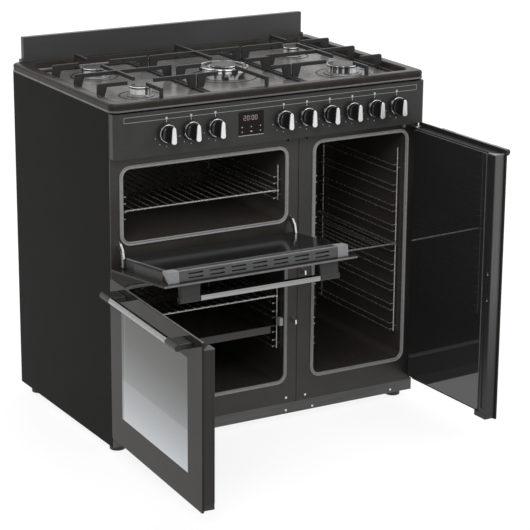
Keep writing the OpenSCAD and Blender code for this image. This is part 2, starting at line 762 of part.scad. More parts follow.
// Pan supports, each a low frame that carries cross bars and fingers on tall legs
module cross_bar(x, y, keep) translate([0, y - support_bar / 2, 0]) intersection() {
    slab([0, support_bar]) polygon([[x[0], well_z + 3], [x[0] + leg_w * 0.7, well_z + 3],
        [x[0] + leg_w, support_z - finger_h], [x[1] - leg_w, support_z - finger_h],
        [x[1] - leg_w * 0.7, well_z + 3], [x[1], well_z + 3], [x[1], support_z - 3],
        [x[1] - 3, support_z], [x[0] + 3, support_z], [x[0], support_z - 3]]);
    union() {
        block([x[0], keep[0]], [-1, support_bar + 1], [well_z, support_z + 1]);
        block([keep[1], x[1]], [-1, support_bar + 1], [well_z, support_z + 1]);
    }
}

module finger(x, y, leg) {
    translate([x - support_bar / 2, y[0], support_z - finger_h])
        cube([support_bar, y[1] - y[0], finger_h]);
    if (leg != 0) block([x - support_bar / 2, x + support_bar / 2],
        leg < 0 ? [y[0], y[0] + 10] : [y[1] - 10, y[1]], [well_z + 3, support_z - 1]);
}

module low_frame(x) translate([0, 0, well_z + 0.3]) linear_extrude(height = 5.7) difference() {
    round_rect([x[0], x[1], support_front, support_rear], 16);
    round_rect([x[0] + support_bar, x[1] - support_bar, support_front + support_bar,
        support_rear - support_bar], 9);
}
middle_bar_y = (front_burner_y + rear_burner_y) / 2;

module side_support(x, front, rear) color("#1e1e1f") {
    clear_front = front[2] + 2;
    clear_rear = rear[2] + 2;
    low_frame(x);
    cross_bar(x, front[1], [front[0] - clear_front, front[0] + clear_front]);
    cross_bar(x, middle_bar_y, [front[0], front[0]]);
    cross_bar(x, rear[1], [rear[0] - clear_rear, rear[0] + clear_rear]);
    finger(front[0], [support_front, front[1] - clear_front], -1);
    finger(front[0], [front[1] + clear_front, rear[1] - clear_rear], 0);
    finger(rear[0], [rear[1] + clear_rear, support_rear], 1);
}

left_support = [-support_half, -support_half + support_w];
centre_support = [-support_w / 2, support_w / 2];
module pan_support_left() side_support(left_support, burners[0], burners[1]);
module pan_support_right() mirror([1, 0, 0]) side_support(left_support,
    [-burners[2][0], burners[2][1], burners[2][2]], [-burners[3][0], burners[3][1], burners[3][2]]);
module pan_support_centre() color("#1e1e1f") {
    x = centre_support;
    clear = wok_ring_r + 1;
    low_frame(x);
    cross_bar(x, front_burner_y, [-clear - 12, clear + 12]);
    cross_bar(x, wok_y, [-clear, clear]);
    cross_bar(x, rear_burner_y, [0, 0]);
    finger(0, [support_front, wok_y - clear], -1);
    finger(0, [wok_y + clear, support_rear], 1);
}

// Doors, drawn closed and swung to the position shown
module door_panel(door) color("#0e0e0f") slab([face_y, panel_y]) round_rect(door, 3);

module main_door_panel() main_swing() door_panel(main_door);
module grill_door_panel() grill_swing() door_panel(grill_door);
module tall_door_panel() tall_swing() door_panel(tall_door);

function window(inner) = grown(inner, -frame_bar);

module door_ring(inner) slab([panel_y, glass_y - glass_t]) difference() {
    rect(inner);
    round_rect(window(inner), 12);
}

// Hinge lugs at the pivot side of a side-hung door, with the bores for its pins
module lugs(pivot, inner, edge_x) for (z = [[inner[2], inner[2] + lug_h], [inner[3] - lug_h, inner[3]]])
    block([min(pivot[0] - lug_w / 2, edge_x), max(pivot[0] + lug_w / 2, edge_x)],
        [pivot[1] - lug_w / 2, pivot[1] + lug_w / 2], z);

module pin_bores(pivot, inner) for (z = [[inner[2] - 1, inner[2] + 18], [inner[3] - 18, inner[3] + 1]])
    rod_z(pivot[0], pivot[1], z, pin_d / 2 + pin_fit);

// Profile at the free edge of a side-hung door, with a light cap at each end
end_cap = 30;
module side_profile(inner, x) {
    z = [inner[2] + end_cap, inner[3] - end_cap];
    color("#4a4a49") difference() {
        block(x, [panel_y, glass_y], z);
        block([x[0] + 8, x[1] - 8], [glass_y - 6, glass_y + 1], z);
    }
    color("#a9a9a7") {
        block(x, [panel_y, glass_y], [inner[2], z[0]]);
        block(x, [panel_y, glass_y], [z[1], inner[3]]);
    }
}

module main_door_frame() main_swing() {
    color("#1a1a1b") difference() {
        union() {
            door_ring([main_inner[0], main_inner[1] - edge_profile, main_inner[2], main_inner[3]]);
            lugs(main_pivot, main_inner, main_inner[0] + 2);
        }
        pin_bores(main_pivot, main_inner);
    }
    side_profile(main_inner, [main_inner[1] - edge_profile, main_inner[1]]);
}

module tall_door_frame() tall_swing() {
    color("#1a1a1b") difference() {
        union() {
            door_ring([tall_inner[0] + edge_profile, tall_inner[1], tall_inner[2], tall_inner[3]]);
            lugs(tall_pivot, tall_inner, tall_inner[1] - 2);
        }
        pin_bores(tall_pivot, tall_inner);
    }
    side_profile(tall_inner, [tall_inner[0], tall_inner[0] + edge_profile]);
}

arm_slot = 8;
arm_x = [[grill_inner[0] + 2, grill_inner[0] + 7], [grill_inner[1] - 7, grill_inner[1] - 2]];
pin_reach = 13;
slot_pitch = 58;
slot_l = 40;

module grill_door_frame() grill_swing() {
    e = grill_inner;
    top = e[3] - edge_profile;
    color("#1a1a1b") difference() {
        door_ring([e[0], e[1], e[2], top]);
        for (x = [[e[0] - 1, e[0] + arm_slot], [e[1] - arm_slot, e[1] + 1]])
            block(x, [panel_y - 1, glass_y + 1], [e[2] - 1, e[2] + 75]);
        for (x = [[e[0], e[0] + arm_slot + pin_reach + 1], [e[1] - arm_slot - pin_reach - 1, e[1]]])
            rod_x(x, grill_pivot[1], grill_pivot[2], pin_d / 2 + pin_fit);
    }
    color("#4a4a49") difference() {
        block([e[0] + end_cap, e[1] - end_cap], [panel_y, glass_y], [top, e[3]]);
        for (i = [-3:3], row = [0, 1]) translate([(e[0] + e[1]) / 2 + i * slot_pitch - slot_l / 2,
            panel_y + 7 + row * 10, e[3] - 12]) cube([slot_l, 4, 13]);
    }
    color("#a9a9a7") for (x = [[e[0], e[0] + end_cap], [e[1] - end_cap, e[1]]])
        block(x, [panel_y, glass_y], [top, e[3]]);
}

module inner_glass(e) color("#151517") slab([glass_y - glass_t, glass_y]) round_rect(e, 4);
glass_gap = 6;
module main_door_glass() main_swing() inner_glass([main_inner[0] + 3,
    main_inner[1] - edge_profile - glass_gap, main_inner[2] + 3, main_inner[3] - 3]);
module grill_door_glass() grill_swing() inner_glass([grill_inner[0] + arm_slot + 2,
    grill_inner[1] - arm_slot - 2, grill_inner[2] + 3, grill_inner[3] - edge_profile - 2]);
module tall_door_glass() tall_swing() inner_glass([tall_inner[0] + edge_profile + glass_gap,
    tall_inner[1] - 3, tall_inner[2] + 3, tall_inner[3] - 3]);

// Handle bar with a ferrule and a wedge bracket at each end
module handle(door) {
    x = [door[0] + bar_inset, door[1] - bar_inset];
    y = face_y - bar_reach;
    z = door[3] - bar_drop;
    r = bar_d / 2;
    color("#d6d7d8") rod_x([x[0] + ferrule_l, x[1] - ferrule_l], y, z, r);
    for (s = [0, 1]) translate([s * (x[0] + x[1]), 0, 0]) mirror([s, 0, 0]) color("#2a2a2b") {
        rod_x([x[0], x[0] + ferrule_l], y, z, r);
        translate([0, 0, z - r + 1.5]) linear_extrude(height = 2 * r - 3) polygon([[x[0] + 3, face_y],
            [x[0] + 3, y], [x[0] + ferrule_l - 2, y], [x[0] + bracket_l, face_y]]);
    }
}

module main_door_handle() main_swing() handle(main_door);
module grill_door_handle() grill_swing() handle(grill_door);
module tall_door_handle() tall_swing() handle(tall_door);

// Hinges and catches on the front frames
module hinge_pin(pivot, z, drop) {
    r = 8;
    color("silver") {
        translate([0, 0, z]) linear_extrude(height = hinge_plate) {
            translate([pivot[0] - r, pivot[1]]) square([2 * r, front_y - pivot[1]]);
            translate([pivot[0], pivot[1]]) circle(r);
        }
        rod_z(pivot[0], pivot[1], drop > 0 ? [z - drop, z] : [z + hinge_plate, z + hinge_plate - drop],
            pin_d / 2);
    }
}

module door_hinges(pivot, inner) {
    hinge_pin(pivot, inner[3] + hinge_play, 15);
    hinge_pin(pivot, inner[2] - hinge_play - hinge_plate, -15);
}

module profile_x(x) translate([x[0], 0, 0]) rotate([90, 0, 90])
    linear_extrude(height = x[1] - x[0]) children();

module catch(x, z) color("silver") profile_x([x, x + 4]) polygon([[front_y, z - 9],
    [front_y, z + 9], [front_y - 10, z + 5], [front_y - 19, z + 5], [front_y - 20, z - 6],
    [front_y - 15, z - 6], [front_y - 14, z - 2], [front_y - 8, z - 4]]);

module door_hardware() {
    door_hinges(main_pivot, main_inner);
    door_hinges(tall_pivot, tall_inner);
    catch(main_inner[1] + 4, main_oven_low + main_catch_up);
    catch(tall_inner[0] - 8, tall_oven_low + tall_catch_up);
}

module grill_hinge_arms() color("#c9cacb") for (i = [0, 1]) {
    y = grill_pivot[1];
    z = grill_pivot[2];
    reach = front_y - y;
    profile_x(arm_x[i]) {
        translate([y, z]) circle(5.5);
        polygon([[y - 5.5, z], [y - 5, z + 20], [y + 1, z + 42], [y + 13, z + 55], [y + reach, z + 60],
            [y + reach, z + 46], [y + 15, z + 40], [y + 9, z + 28], [y + 5.5, z + 12], [y + 5.5, z]]);
    }
    rod_x(i == 0 ? [arm_x[0][1], grill_inner[0] + arm_slot + pin_reach]
        : [grill_inner[1] - arm_slot - pin_reach, arm_x[1][0]], y, z, pin_d / 2);
}

side_panels();
back_panel();
base_tray();
plinth();
feet();
front_frames();
hob_top();
splashback();
control_panel();
timer_display();
top_oven_liner();
main_oven_liner();
tall_oven_liner();
oven_seals();
grill_element();
ladder_racks();
fan_covers();
fan_motors();
burner_cups();
burner_crowns();
burner_caps();
gas_rail();
oven_switches();
door_hardware();
grill_hinge_arms();
fan_blade(main_fan);  // fan_blade_main
fan_blade(tall_fan);  // fan_blade_tall
grill_shelf();
main_shelf();
main_tray();
tall_shelf();
pan_support_left();
pan_support_centre();
pan_support_right();
main_door_panel();
main_door_frame();
main_door_glass();
main_door_handle();
grill_door_panel();
grill_door_frame();
grill_door_glass();
grill_door_handle();
tall_door_panel();
tall_door_frame();
tall_door_glass();
tall_door_handle();
knob(oven_knob_x[0]);  // oven_knob_1
knob(oven_knob_x[1]);  // oven_knob_2
knob(oven_knob_x[2]);  // oven_knob_3
knob(oven_knob_x[3]);  // oven_knob_4
knob(gas_knob_x[0]);  // gas_knob_1
knob(gas_knob_x[1]);  // gas_knob_2
knob(gas_knob_x[2]);  // gas_knob_3
knob(gas_knob_x[3]);  // gas_knob_4
knob(gas_knob_x[4]);  // gas_knob_5
spindle(gas_knob_x[0]);  // gas_spindle_1
spindle(gas_knob_x[1]);  // gas_spindle_2
spindle(gas_knob_x[2]);  // gas_spindle_3
spindle(gas_knob_x[3]);  // gas_spindle_4
spindle(gas_knob_x[4]);  // gas_spindle_5
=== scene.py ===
"""Looks of a freestanding 900 mm gas range cooker with its three oven doors standing open.

Sizes in the classes are in millimetres, X to the right, Y to the rear and Z up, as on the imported
model.
"""
import logging
import math
from contextlib import contextmanager
from dataclasses import dataclass
from enum import Enum
from typing import Callable, Iterable, Iterator, Optional, Sequence, Union

import bpy
from mathutils import Euler, Matrix, Vector


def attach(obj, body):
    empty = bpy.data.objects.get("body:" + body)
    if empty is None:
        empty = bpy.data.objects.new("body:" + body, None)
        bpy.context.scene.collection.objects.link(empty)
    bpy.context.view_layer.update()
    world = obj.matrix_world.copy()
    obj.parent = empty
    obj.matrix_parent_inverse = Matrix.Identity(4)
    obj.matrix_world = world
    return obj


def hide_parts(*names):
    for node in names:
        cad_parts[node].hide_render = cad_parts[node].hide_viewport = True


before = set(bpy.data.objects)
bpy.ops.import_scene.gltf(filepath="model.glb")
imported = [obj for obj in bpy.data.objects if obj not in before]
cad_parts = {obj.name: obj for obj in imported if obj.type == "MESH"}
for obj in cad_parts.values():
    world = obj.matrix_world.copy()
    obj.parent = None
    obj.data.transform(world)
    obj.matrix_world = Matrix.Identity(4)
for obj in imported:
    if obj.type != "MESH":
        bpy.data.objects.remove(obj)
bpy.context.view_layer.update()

MM = 0.001
# How near two points of a mesh are made one, in metres, and two of a CAD node's loose triangles.
MERGE = 1e-6
CAD_MERGE = 2e-6
# The plane of the front frames, which the seals, screws and pins stand on.
FRAMES_Y = -277.0
LOG = logging.getLogger("cooker")
Point = Sequence[float]
Span = tuple[float, float]
Pairs = Sequence[Span]
Triple = tuple[float, float, float]
Edges = tuple[float, float, float, float]
# A question about a face's middle in millimetres and its normal.
Test = Callable[[Vector, Vector], bool]
Number = Union[float, "Wire"]


class Axis(Enum):
    """Turns that make the Z axis of a round piece face one way."""

    RIGHT = Matrix.Rotation(math.radians(90), 4, "Y")
    LEFT = Matrix.Rotation(math.radians(-90), 4, "Y")
    BACK = Matrix.Rotation(math.radians(-90), 4, "X")
    FRONT = Matrix.Rotation(math.radians(90), 4, "X")

    def at(self, x: float, y: float, z: float) -> Matrix:
        """The turn, and then the move to a place in millimetres."""
        return Matrix.Translation(Vector((x, y, z)) * MM) @ self.value


class FreeEdge(Enum):
    """Edge of a door away from its hinge: the axis that it lies across, and its way along it."""

    LEFT = (0, -1)
    RIGHT = (0, 1)
    TOP = (2, 1)


class Wire:
    """One output of a shader node, with the operators that shader maths needs."""

    def __init__(self, board: "ShaderBoard", socket: bpy.types.NodeSocket) -> None:
        """Keeps the socket and the board that it is on."""
        self.board = board
        self.socket = socket

    def _maths(self, operation: str, first: Number, second: Number) -> "Wire":
        """Adds one Math node."""
        return self.board.add("ShaderNodeMath", {"operation": operation}, {0: first, 1: second})

    def __add__(self, other: Number) -> "Wire":
        """Sum."""
        return self._maths("ADD", self, other)

    def __radd__(self, other: Number) -> "Wire":
        """Sum with a number on the left."""
        return self._maths("ADD", other, self)

    def __sub__(self, other: Number) -> "Wire":
        """Difference."""
        return self._maths("SUBTRACT", self, other)

    def __rsub__(self, other: Number) -> "Wire":
        """Difference with a number on the left."""
        return self._maths("SUBTRACT", other, self)

    def __mul__(self, other: Number) -> "Wire":
        """Product."""
        return self._maths("MULTIPLY", self, other)

    def __rmul__(self, other: Number) -> "Wire":
        """Product with a number on the left."""
        return self._maths("MULTIPLY", other, self)

    def __lt__(self, other: Number) -> "Wire":
        """One where this is less, and nought elsewhere."""
        return self._maths("LESS_THAN", self, other)

    def size(self) -> "Wire":
        """Distance from nought."""
        return self._maths("ABSOLUTE", self, 0.0)

    def either(self, other: "Wire") -> "Wire":
        """The greater of two, so one where either mask is one."""
        return self._maths("MAXIMUM", self, other)

    def beside(self, output: Union[int, str]) -> "Wire":
        """Another output of the same node."""
        return Wire(self.board, self.socket.node.outputs[output])


class ShaderBoard:
    """The nodes of one material, or of the world."""

    def __init__(self, owner: Union[bpy.types.Material, bpy.types.World]) -> None:
        """Starts with only the owner's shader and its output.

        Args:
            owner: The material or the world.
        """
        owner.use_nodes = True
        self.owner = owner
        self.tree = owner.node_tree
        kinds = ("BSDF_PRINCIPLED", "BACKGROUND")
        self.shader = next(node for node in self.tree.nodes if node.type in kinds)

    def add(self, kind: str, settings: dict, sockets: dict, output: Union[int, str] = 0) -> Wire:
        """Adds any node.

        Args:
            kind: The node's type name.
            settings: Attributes that are set first.
            sockets: Values or wires of its inputs, by name or number.
            output: The output that is wanted.

        Returns:
            The wire of that output.
        """
        node = self.tree.nodes.new(kind)
        for name, value in settings.items():
            setattr(node, name, value)
        for name, value in sockets.items():
            self.feed(node.inputs[name], value)
        return Wire(self, node.outputs[output])

    def feed(self, socket: bpy.types.NodeSocket, value: object) -> None:
        """Fills one socket.

        Args:
            socket: The socket.
            value: A wire that is linked to it, or the value that it is set to.
        """
        if isinstance(value, Wire):
            self.tree.links.new(value.socket, socket)
        else:
            socket.default_value = value

    def place(self, scale: Point) -> Wire:
        """Object coordinates, stretched by scale."""
        spot = self.add("ShaderNodeTexCoord", {}, {}, "Object")
        return self.add("ShaderNodeMapping", {}, {"Vector": spot, "Scale": tuple(scale)})

    def apart(self, spot: Wire) -> tuple[Wire, Wire, Wire]:
        """The three numbers of a vector."""
        first = self.add("ShaderNodeSeparateXYZ", {}, {"Vector": spot})
        return first, first.beside(1), first.beside(2)

    def axes(self) -> tuple[Wire, Wire, Wire]:
        """Object coordinates as three wires, in metres."""
        return self.apart(self.add("ShaderNodeTexCoord", {}, {}, "Object"))

    def seen(self) -> Wire:
        """Mask of the rays that show the white surroundings.

        Returns:
            One for rays of the camera, of reflections and through glass, and nought for light.
        """
        camera = self.add("ShaderNodeLightPath", {}, {}, "Is Camera Ray")
        glossy, through = camera.beside("Is Glossy Ray"), camera.beside("Is Transmission Ray")
        return camera.either(glossy).either(through)

    def noise(self, scale: float, detail: float = 3.0, stretch: Point = (1.0, 1.0, 1.0)) -> Wire:
        """Fractal noise on object coordinates.

        Args:
            scale: Cells per metre.
            detail: Octaves.
            stretch: Extra scale of each axis.

        Returns:
            The noise, around a half.
        """
        return self.add("ShaderNodeTexNoise", {}, {"Vector": self.place(stretch), "Scale": scale,
                                                   "Detail": detail})

    def mix(self, share: Number, first: Union[Triple, Wire], second: Union[Triple, Wire]) -> Wire:
        """Colour between two colours."""
        return self.add("ShaderNodeMix", {"data_type": "RGBA"},
                        {0: share, 6: solid(first), 7: solid(second)}, 2)

    def ramp(self, value: Wire, low: float, high: float) -> Wire:
        """Value stretched so that low becomes nought and high becomes one, and held there."""
        return self.add("ShaderNodeMapRange", {}, {"Value": value, "From Min": low,
                                                   "From Max": high})

    def bump(self, height: Wire, depth: float) -> Wire:
        """Normal that a height gives, depth in millimetres."""
        return self.add("ShaderNodeBump", {}, {"Height": height, "Distance": depth * MM,
                                               "Strength": 1.0})

    def set(self, **sockets: object) -> None:
        """Feeds sockets of the shader, underscores standing for spaces."""
        for name, value in sockets.items():
            self.feed(self.shader.inputs[name.replace("_", " ")], value)


def solid(colour: Union[Triple, Wire]) -> Union[tuple[float, ...], Wire]:
    """Colour with full alpha, and a wire as it is."""
    return colour if isinstance(colour, Wire) else (*colour, 1.0)


def grey(level: float, warm: float = 0.0) -> Triple:
    """Grey of one level, a little warmer or colder."""
    return (level * (1 + warm), level, level * (1 - warm))


@dataclass(frozen=True)
class Finish:
    """Surface of one kind: colour, gloss and fine texture."""

    name: str
    colour: Triple
    fleck: Triple
    roughness: float = 0.3
    spread: float = 0.06
    metallic: float = 0.0
    specular: float = 0.5
    cell: float = 60.0
    clouds: Span = (0.3, 0.7)
    stretch: Triple = (1.0, 1.0, 1.0)
    bump_cell: float = 900.0
    bump_depth: float = 0.0

    def make(self) -> bpy.types.Material:
        """Builds the material.

        Returns:
            A material whose colour, roughness and bump vary over the surface.
        """
        board = ShaderBoard(bpy.data.materials.new(self.name))
        cloud = board.ramp(board.noise(self.cell, 4.0, self.stretch), *self.clouds)
        colour, metal = self.surface(board, cloud)
        board.set(Base_Color=colour, Metallic=metal, Specular_IOR_Level=self.specular,
                  Roughness=self.roughness + self.spread * (cloud - 0.5))
        if self.bump_depth:
            grain = board.noise(self.bump_cell, 2.0, self.stretch)
            board.set(Normal=board.bump(grain, self.bump_depth))
        return board.owner

    def surface(self, board: ShaderBoard, cloud: Wire) -> tuple[Wire, Number]:
        """Colour and share of metal, by the clouds of the finish."""
        return board.mix(cloud, self.colour, self.fleck), self.metallic


@dataclass(frozen=True)
class FootShadedFinish(Finish):
    """Brushed metal with painted shade that darkens it from a height down to its foot."""

    # Painted shade: dark grey at the foot height, fading out up to the rise height, in millimetres.
    foot: float = 150.0
    rise: float = 420.0
    dark: float = 0.022

    def surface(self, board: ShaderBoard, cloud: Wire) -> tuple[Wire, Number]:
        """Colour and share of metal.

        Args:
            board: The material's board.
            cloud: The clouds of the finish.

        Returns:
            The colour of the clouds with painted shade darker towards the foot, and the metal's
            share.
        """
        colour, metal = super().surface(board, cloud)
        # Painted shade: dark at the foot, fading out up to the rise.
        height = board.ramp(board.axes()[2], self.foot * MM, self.rise * MM)
        return board.mix(height, grey(self.dark), colour), metal


@dataclass(frozen=True)
class WindowFinish(Finish):
    """Outer door glass: a printed black border round a mirror-like window, whose colour is painted
    reflection, painted shade and a painted highlight.

    The window runs from a pale bluish painted reflection at its foot to dark at its top and is
    paler again below a step, also painted reflection; painted shade darkens the groove along its
    left side, and the line beside the groove is a painted highlight. The window's edges, the groove
    and the line are in millimetres on the plate, and the step is a share of the window's height.
    """

    window: Edges = (0.0, 0.0, 0.0, 0.0)
    # Painted shade in the groove, and a painted highlight line beside it.
    groove: float = 11.0
    groove_share: float = 0.35
    line: float = 19.0
    line_half: float = 1.0
    line_share: float = 0.18
    # Painted reflection: a paler band below the step.
    step: float = 0.36
    step_soft: float = 6.0
    step_share: float = 0.10
    # Painted reflection: the window's colour at its foot and at its top.
    pane_low: Triple = (0.52, 0.55, 0.58)
    pane_high: Triple = (0.09, 0.09, 0.080)
    mirror: float = 0.8

    def surface(self, board: ShaderBoard, cloud: Wire) -> tuple[Wire, Number]:
        """Border and window, from the plate's own UV map, which is in metres.

        Args:
            board: The material's board.
            cloud: The clouds of the finish.

        Returns:
            Colour and share of metal.
        """
        across, up, _ = board.apart(board.add("ShaderNodeUVMap", {"uv_map": "Plate"}, {}))
        left, right, low, high = (edge * MM for edge in self.window)
        inside = ((across - (left + right) / 2).size() < (right - left) / 2) \
            * ((up - (low + high) / 2).size() < (high - low) / 2)
        # Painted shade in the groove, and a painted highlight line beside it.
        groove = across < left + self.groove * MM
        line = (across - (left + self.line * MM)).size() < self.line_half * MM
        # Painted reflection: a paler band below the step, and pale bluish at the foot to dark at
        # the top.
        step = low + self.step * (high - low)
        below = board.ramp(up, step + self.step_soft * MM, step)
        share = board.ramp(up, low, high)
        pane = board.mix(share * (2.0 - share), self.pane_low, self.pane_high)
        pane = board.mix(groove * self.groove_share, pane, grey(0.06))
        pane = board.mix(line * self.line_share, pane, grey(0.8))
        pane = board.mix(below * self.step_share, pane, grey(0.9))
        border, _ = super().surface(board, cloud)
        return board.mix(inside, border, pane), inside * self.mirror


class Finishes:
    """Every finish of the cooker, each made once."""

    ENAMEL = Finish("black_enamel", grey(0.0075, 0.10), grey(0.010, 0.12), 0.36, 0.08,
                    specular=0.02, cell=14.0, bump_cell=700.0, bump_depth=0.02)
    SPLASH = Finish("splash_enamel", grey(0.048), grey(0.066), 0.34, 0.08, specular=0.3, cell=5.0,
                    stretch=(0.6, 1.0, 3.0), bump_cell=700.0, bump_depth=0.02)
    HOB = Finish("hob_enamel", grey(0.022, 0.16), grey(0.032, 0.16), 0.22, 0.08, specular=0.09,
                 cell=30.0, bump_cell=420.0, bump_depth=0.015)
    # Dark well enamel whose large paler clouds are painted reflections.
    WELL = Finish("well_enamel", grey(0.010, 0.03), grey(0.055, 0.02), 0.16, 0.10, specular=0.38,
                  cell=9.0, bump_cell=420.0, bump_depth=0.015)
    FASCIA = Finish("panel_enamel", grey(0.038, 0.03), grey(0.047, 0.03), 0.36, 0.06,
                    specular=0.25, cell=26.0, bump_cell=800.0, bump_depth=0.02)
    FRAME = Finish("frame_enamel", grey(0.026, 0.14), grey(0.044, 0.12), 0.34, 0.08,
                   specular=0.36, cell=9.0, bump_cell=900.0, bump_depth=0.02)
    # Painted highlight: the lighter line along the hob's lower lip.
    LIP = Finish("lip_enamel", grey(0.10, 0.05), grey(0.15, 0.05), 0.26, 0.06, cell=12.0)
    # Painted highlight on the side panels' front edges and on the grill door's slotted edge.
    SHEET_EDGE = Finish("sheet_edge", grey(0.16), grey(0.22), 0.35, 0.06, metallic=0.4, cell=90.0)
    OVEN = Finish("oven_enamel", grey(0.034, 0.14), grey(0.070, 0.14), 0.24, 0.10, specular=0.4,
                  cell=900.0, bump_cell=500.0, bump_depth=0.03)
    PLINTH = Finish("plinth_metal", grey(0.075, 0.02), grey(0.11, 0.02), 0.42, 0.1,
                    metallic=0.5, cell=30.0, stretch=(0.2, 1.0, 4.0), bump_depth=0.02)
    ZINC = Finish("galvanised", grey(0.42), grey(0.55), 0.45, 0.16, metallic=0.9, cell=70.0,
                  bump_depth=0.02)
    SEAL = Finish("seal_rubber", grey(0.30), grey(0.36), 0.42, 0.08, specular=0.5, cell=120.0,
                  bump_cell=1500.0, bump_depth=0.02)
    FOOT = Finish("foot_plastic", grey(0.012), grey(0.020), 0.55, 0.1, cell=200.0, bump_depth=0.03)
    INNER_GLASS = Finish("inner_glass", grey(0.026), grey(0.030), 0.03, 0.01, specular=1.0,
                         cell=6.0)
    DULL_GLASS = Finish("dull_glass", grey(0.012, -0.02), grey(0.015, -0.02), 0.12, 0.03,
                        specular=0.14, cell=6.0)
    # Ground glass edges, painted lighter as a highlight.
    GLASS_EDGE = Finish("glass_edge", grey(0.15, -0.02), grey(0.20, -0.02), 0.25, 0.06, cell=60.0)
    DOOR = Finish("door_frame", grey(0.016, 0.03), grey(0.023, 0.03), 0.38, 0.08, specular=0.2,
                  cell=40.0, bump_depth=0.02)
    # The tall door's edge profile, with painted shade towards its foot.
    PROFILE = FootShadedFinish("edge_profile", grey(0.085, 0.01), grey(0.115, 0.01), 0.40, 0.12,
                          metallic=0.3, cell=60.0, stretch=(4.0, 4.0, 0.12), bump_depth=0.01)
    DARK_PROFILE = Finish("dark_profile", grey(0.018, 0.12), grey(0.030, 0.14), 0.34, 0.1,
                          specular=0.25, cell=60.0, stretch=(4.0, 4.0, 0.12), bump_depth=0.01)
    SLOT_PROFILE = Finish("slotted_profile", grey(0.070, -0.02), grey(0.095, -0.02), 0.34, 0.1,
                          specular=0.4, cell=60.0, stretch=(0.12, 4.0, 4.0), bump_depth=0.01)
    LID = Finish("lid_plastic", grey(0.09), grey(0.12), 0.40, 0.08, cell=90.0, bump_depth=0.02)
    CAP = Finish("cap_plastic", grey(0.26, -0.02), grey(0.31, -0.02), 0.45, 0.08, cell=90.0,
                 bump_depth=0.02)
    DARK_CAP = Finish("dark_cap_plastic", grey(0.020, 0.03), grey(0.028, 0.03), 0.42, 0.08,
                      specular=0.35, cell=90.0, bump_depth=0.02)
    BAR = Finish("handle_metal", grey(0.24), grey(0.36), 0.09, 0.05, metallic=1.0, cell=90.0,
                 stretch=(0.05, 3.0, 3.0), bump_depth=0.006)
    CHROME = Finish("chrome", grey(0.70), grey(0.78), 0.10, 0.05, metallic=1.0, cell=40.0)
    CUP = Finish("cup_metal", grey(0.20), grey(0.28), 0.32, 0.12, metallic=0.9, cell=90.0)
    WIRE = Finish("wire_chrome", grey(0.30, 0.02), grey(0.42, 0.02), 0.25, 0.1, metallic=0.7,
                  cell=200.0)
    HINGE = Finish("hinge_metal", grey(0.55), grey(0.7), 0.25, 0.12, metallic=1.0, cell=160.0,
                   bump_depth=0.02)
    # Painted reflection: vertical streaks from near black to white stand in for a drum's bright
    # bands.
    BURNER = Finish("burner_aluminium", grey(0.06), grey(1.0), 0.26, 0.10, metallic=0.25,
                    cell=55.0, clouds=(0.43, 0.55), stretch=(1.0, 1.0, 0.02))
    CAP_ENAMEL = Finish("cap_enamel", grey(0.035), grey(0.060), 0.30, 0.1, specular=0.15, cell=70.0,
                        bump_cell=700.0, bump_depth=0.02)
    IRON = Finish("support_enamel", grey(0.022), grey(0.036), 0.44, 0.12, specular=0.3, cell=160.0,
                  bump_cell=900.0, bump_depth=0.06)
    KNOB = Finish("knob_plastic", grey(0.008), grey(0.011), 0.16, 0.05, specular=0.5, cell=90.0)
    GRIP = Finish("grip_metal", grey(0.70), grey(0.80), 0.30, 0.08, metallic=0.85, cell=90.0,
                  stretch=(3.0, 3.0, 0.2), bump_depth=0.004)
    PRINT = Finish("print_silver", grey(0.42), grey(0.50), 0.45, 0.06, metallic=0.3, cell=400.0)
    MARK = Finish("print_white", grey(0.62), grey(0.72), 0.5, 0.06, cell=400.0)
    CLOCK = Finish("clock_glass", (0.012, 0.009, 0.009), (0.015, 0.010, 0.010), 0.10, 0.03,
                   specular=0.10, cell=60.0)
    DIGITS = Finish("clock_digits", (0.60, 0.47, 0.44), (0.70, 0.55, 0.51), 0.4, 0.05, cell=400.0)
    SPINDLE = Finish("spindle_steel", grey(0.55), grey(0.62), 0.3, 0.1, metallic=1.0, cell=300.0)
    BRASS = Finish("rail_brass", (0.55, 0.42, 0.20), (0.62, 0.48, 0.24), 0.3, 0.1, metallic=1.0,
                   cell=120.0, bump_depth=0.02)
    SWITCH = Finish("switch_plastic", grey(0.09), grey(0.12), 0.5, 0.08, cell=160.0,
                    bump_depth=0.02)
    MOTOR = Finish("motor_steel", grey(0.42), grey(0.5), 0.35, 0.14, metallic=1.0, cell=120.0,
                   bump_depth=0.02)
    ELEMENT = Finish("element_steel", grey(0.10), grey(0.15), 0.4, 0.12, metallic=0.8, cell=200.0,
                     bump_depth=0.03)

    def __init__(self) -> None:
        """Starts with no material made."""
        self.made: dict[str, bpy.types.Material] = {}

    def __call__(self, finish: Finish) -> bpy.types.Material:
        """Material of a finish, made on first use."""
        if finish.name not in self.made:
            self.made[finish.name] = finish.make()
        return self.made[finish.name]


FINISHES = Finishes()


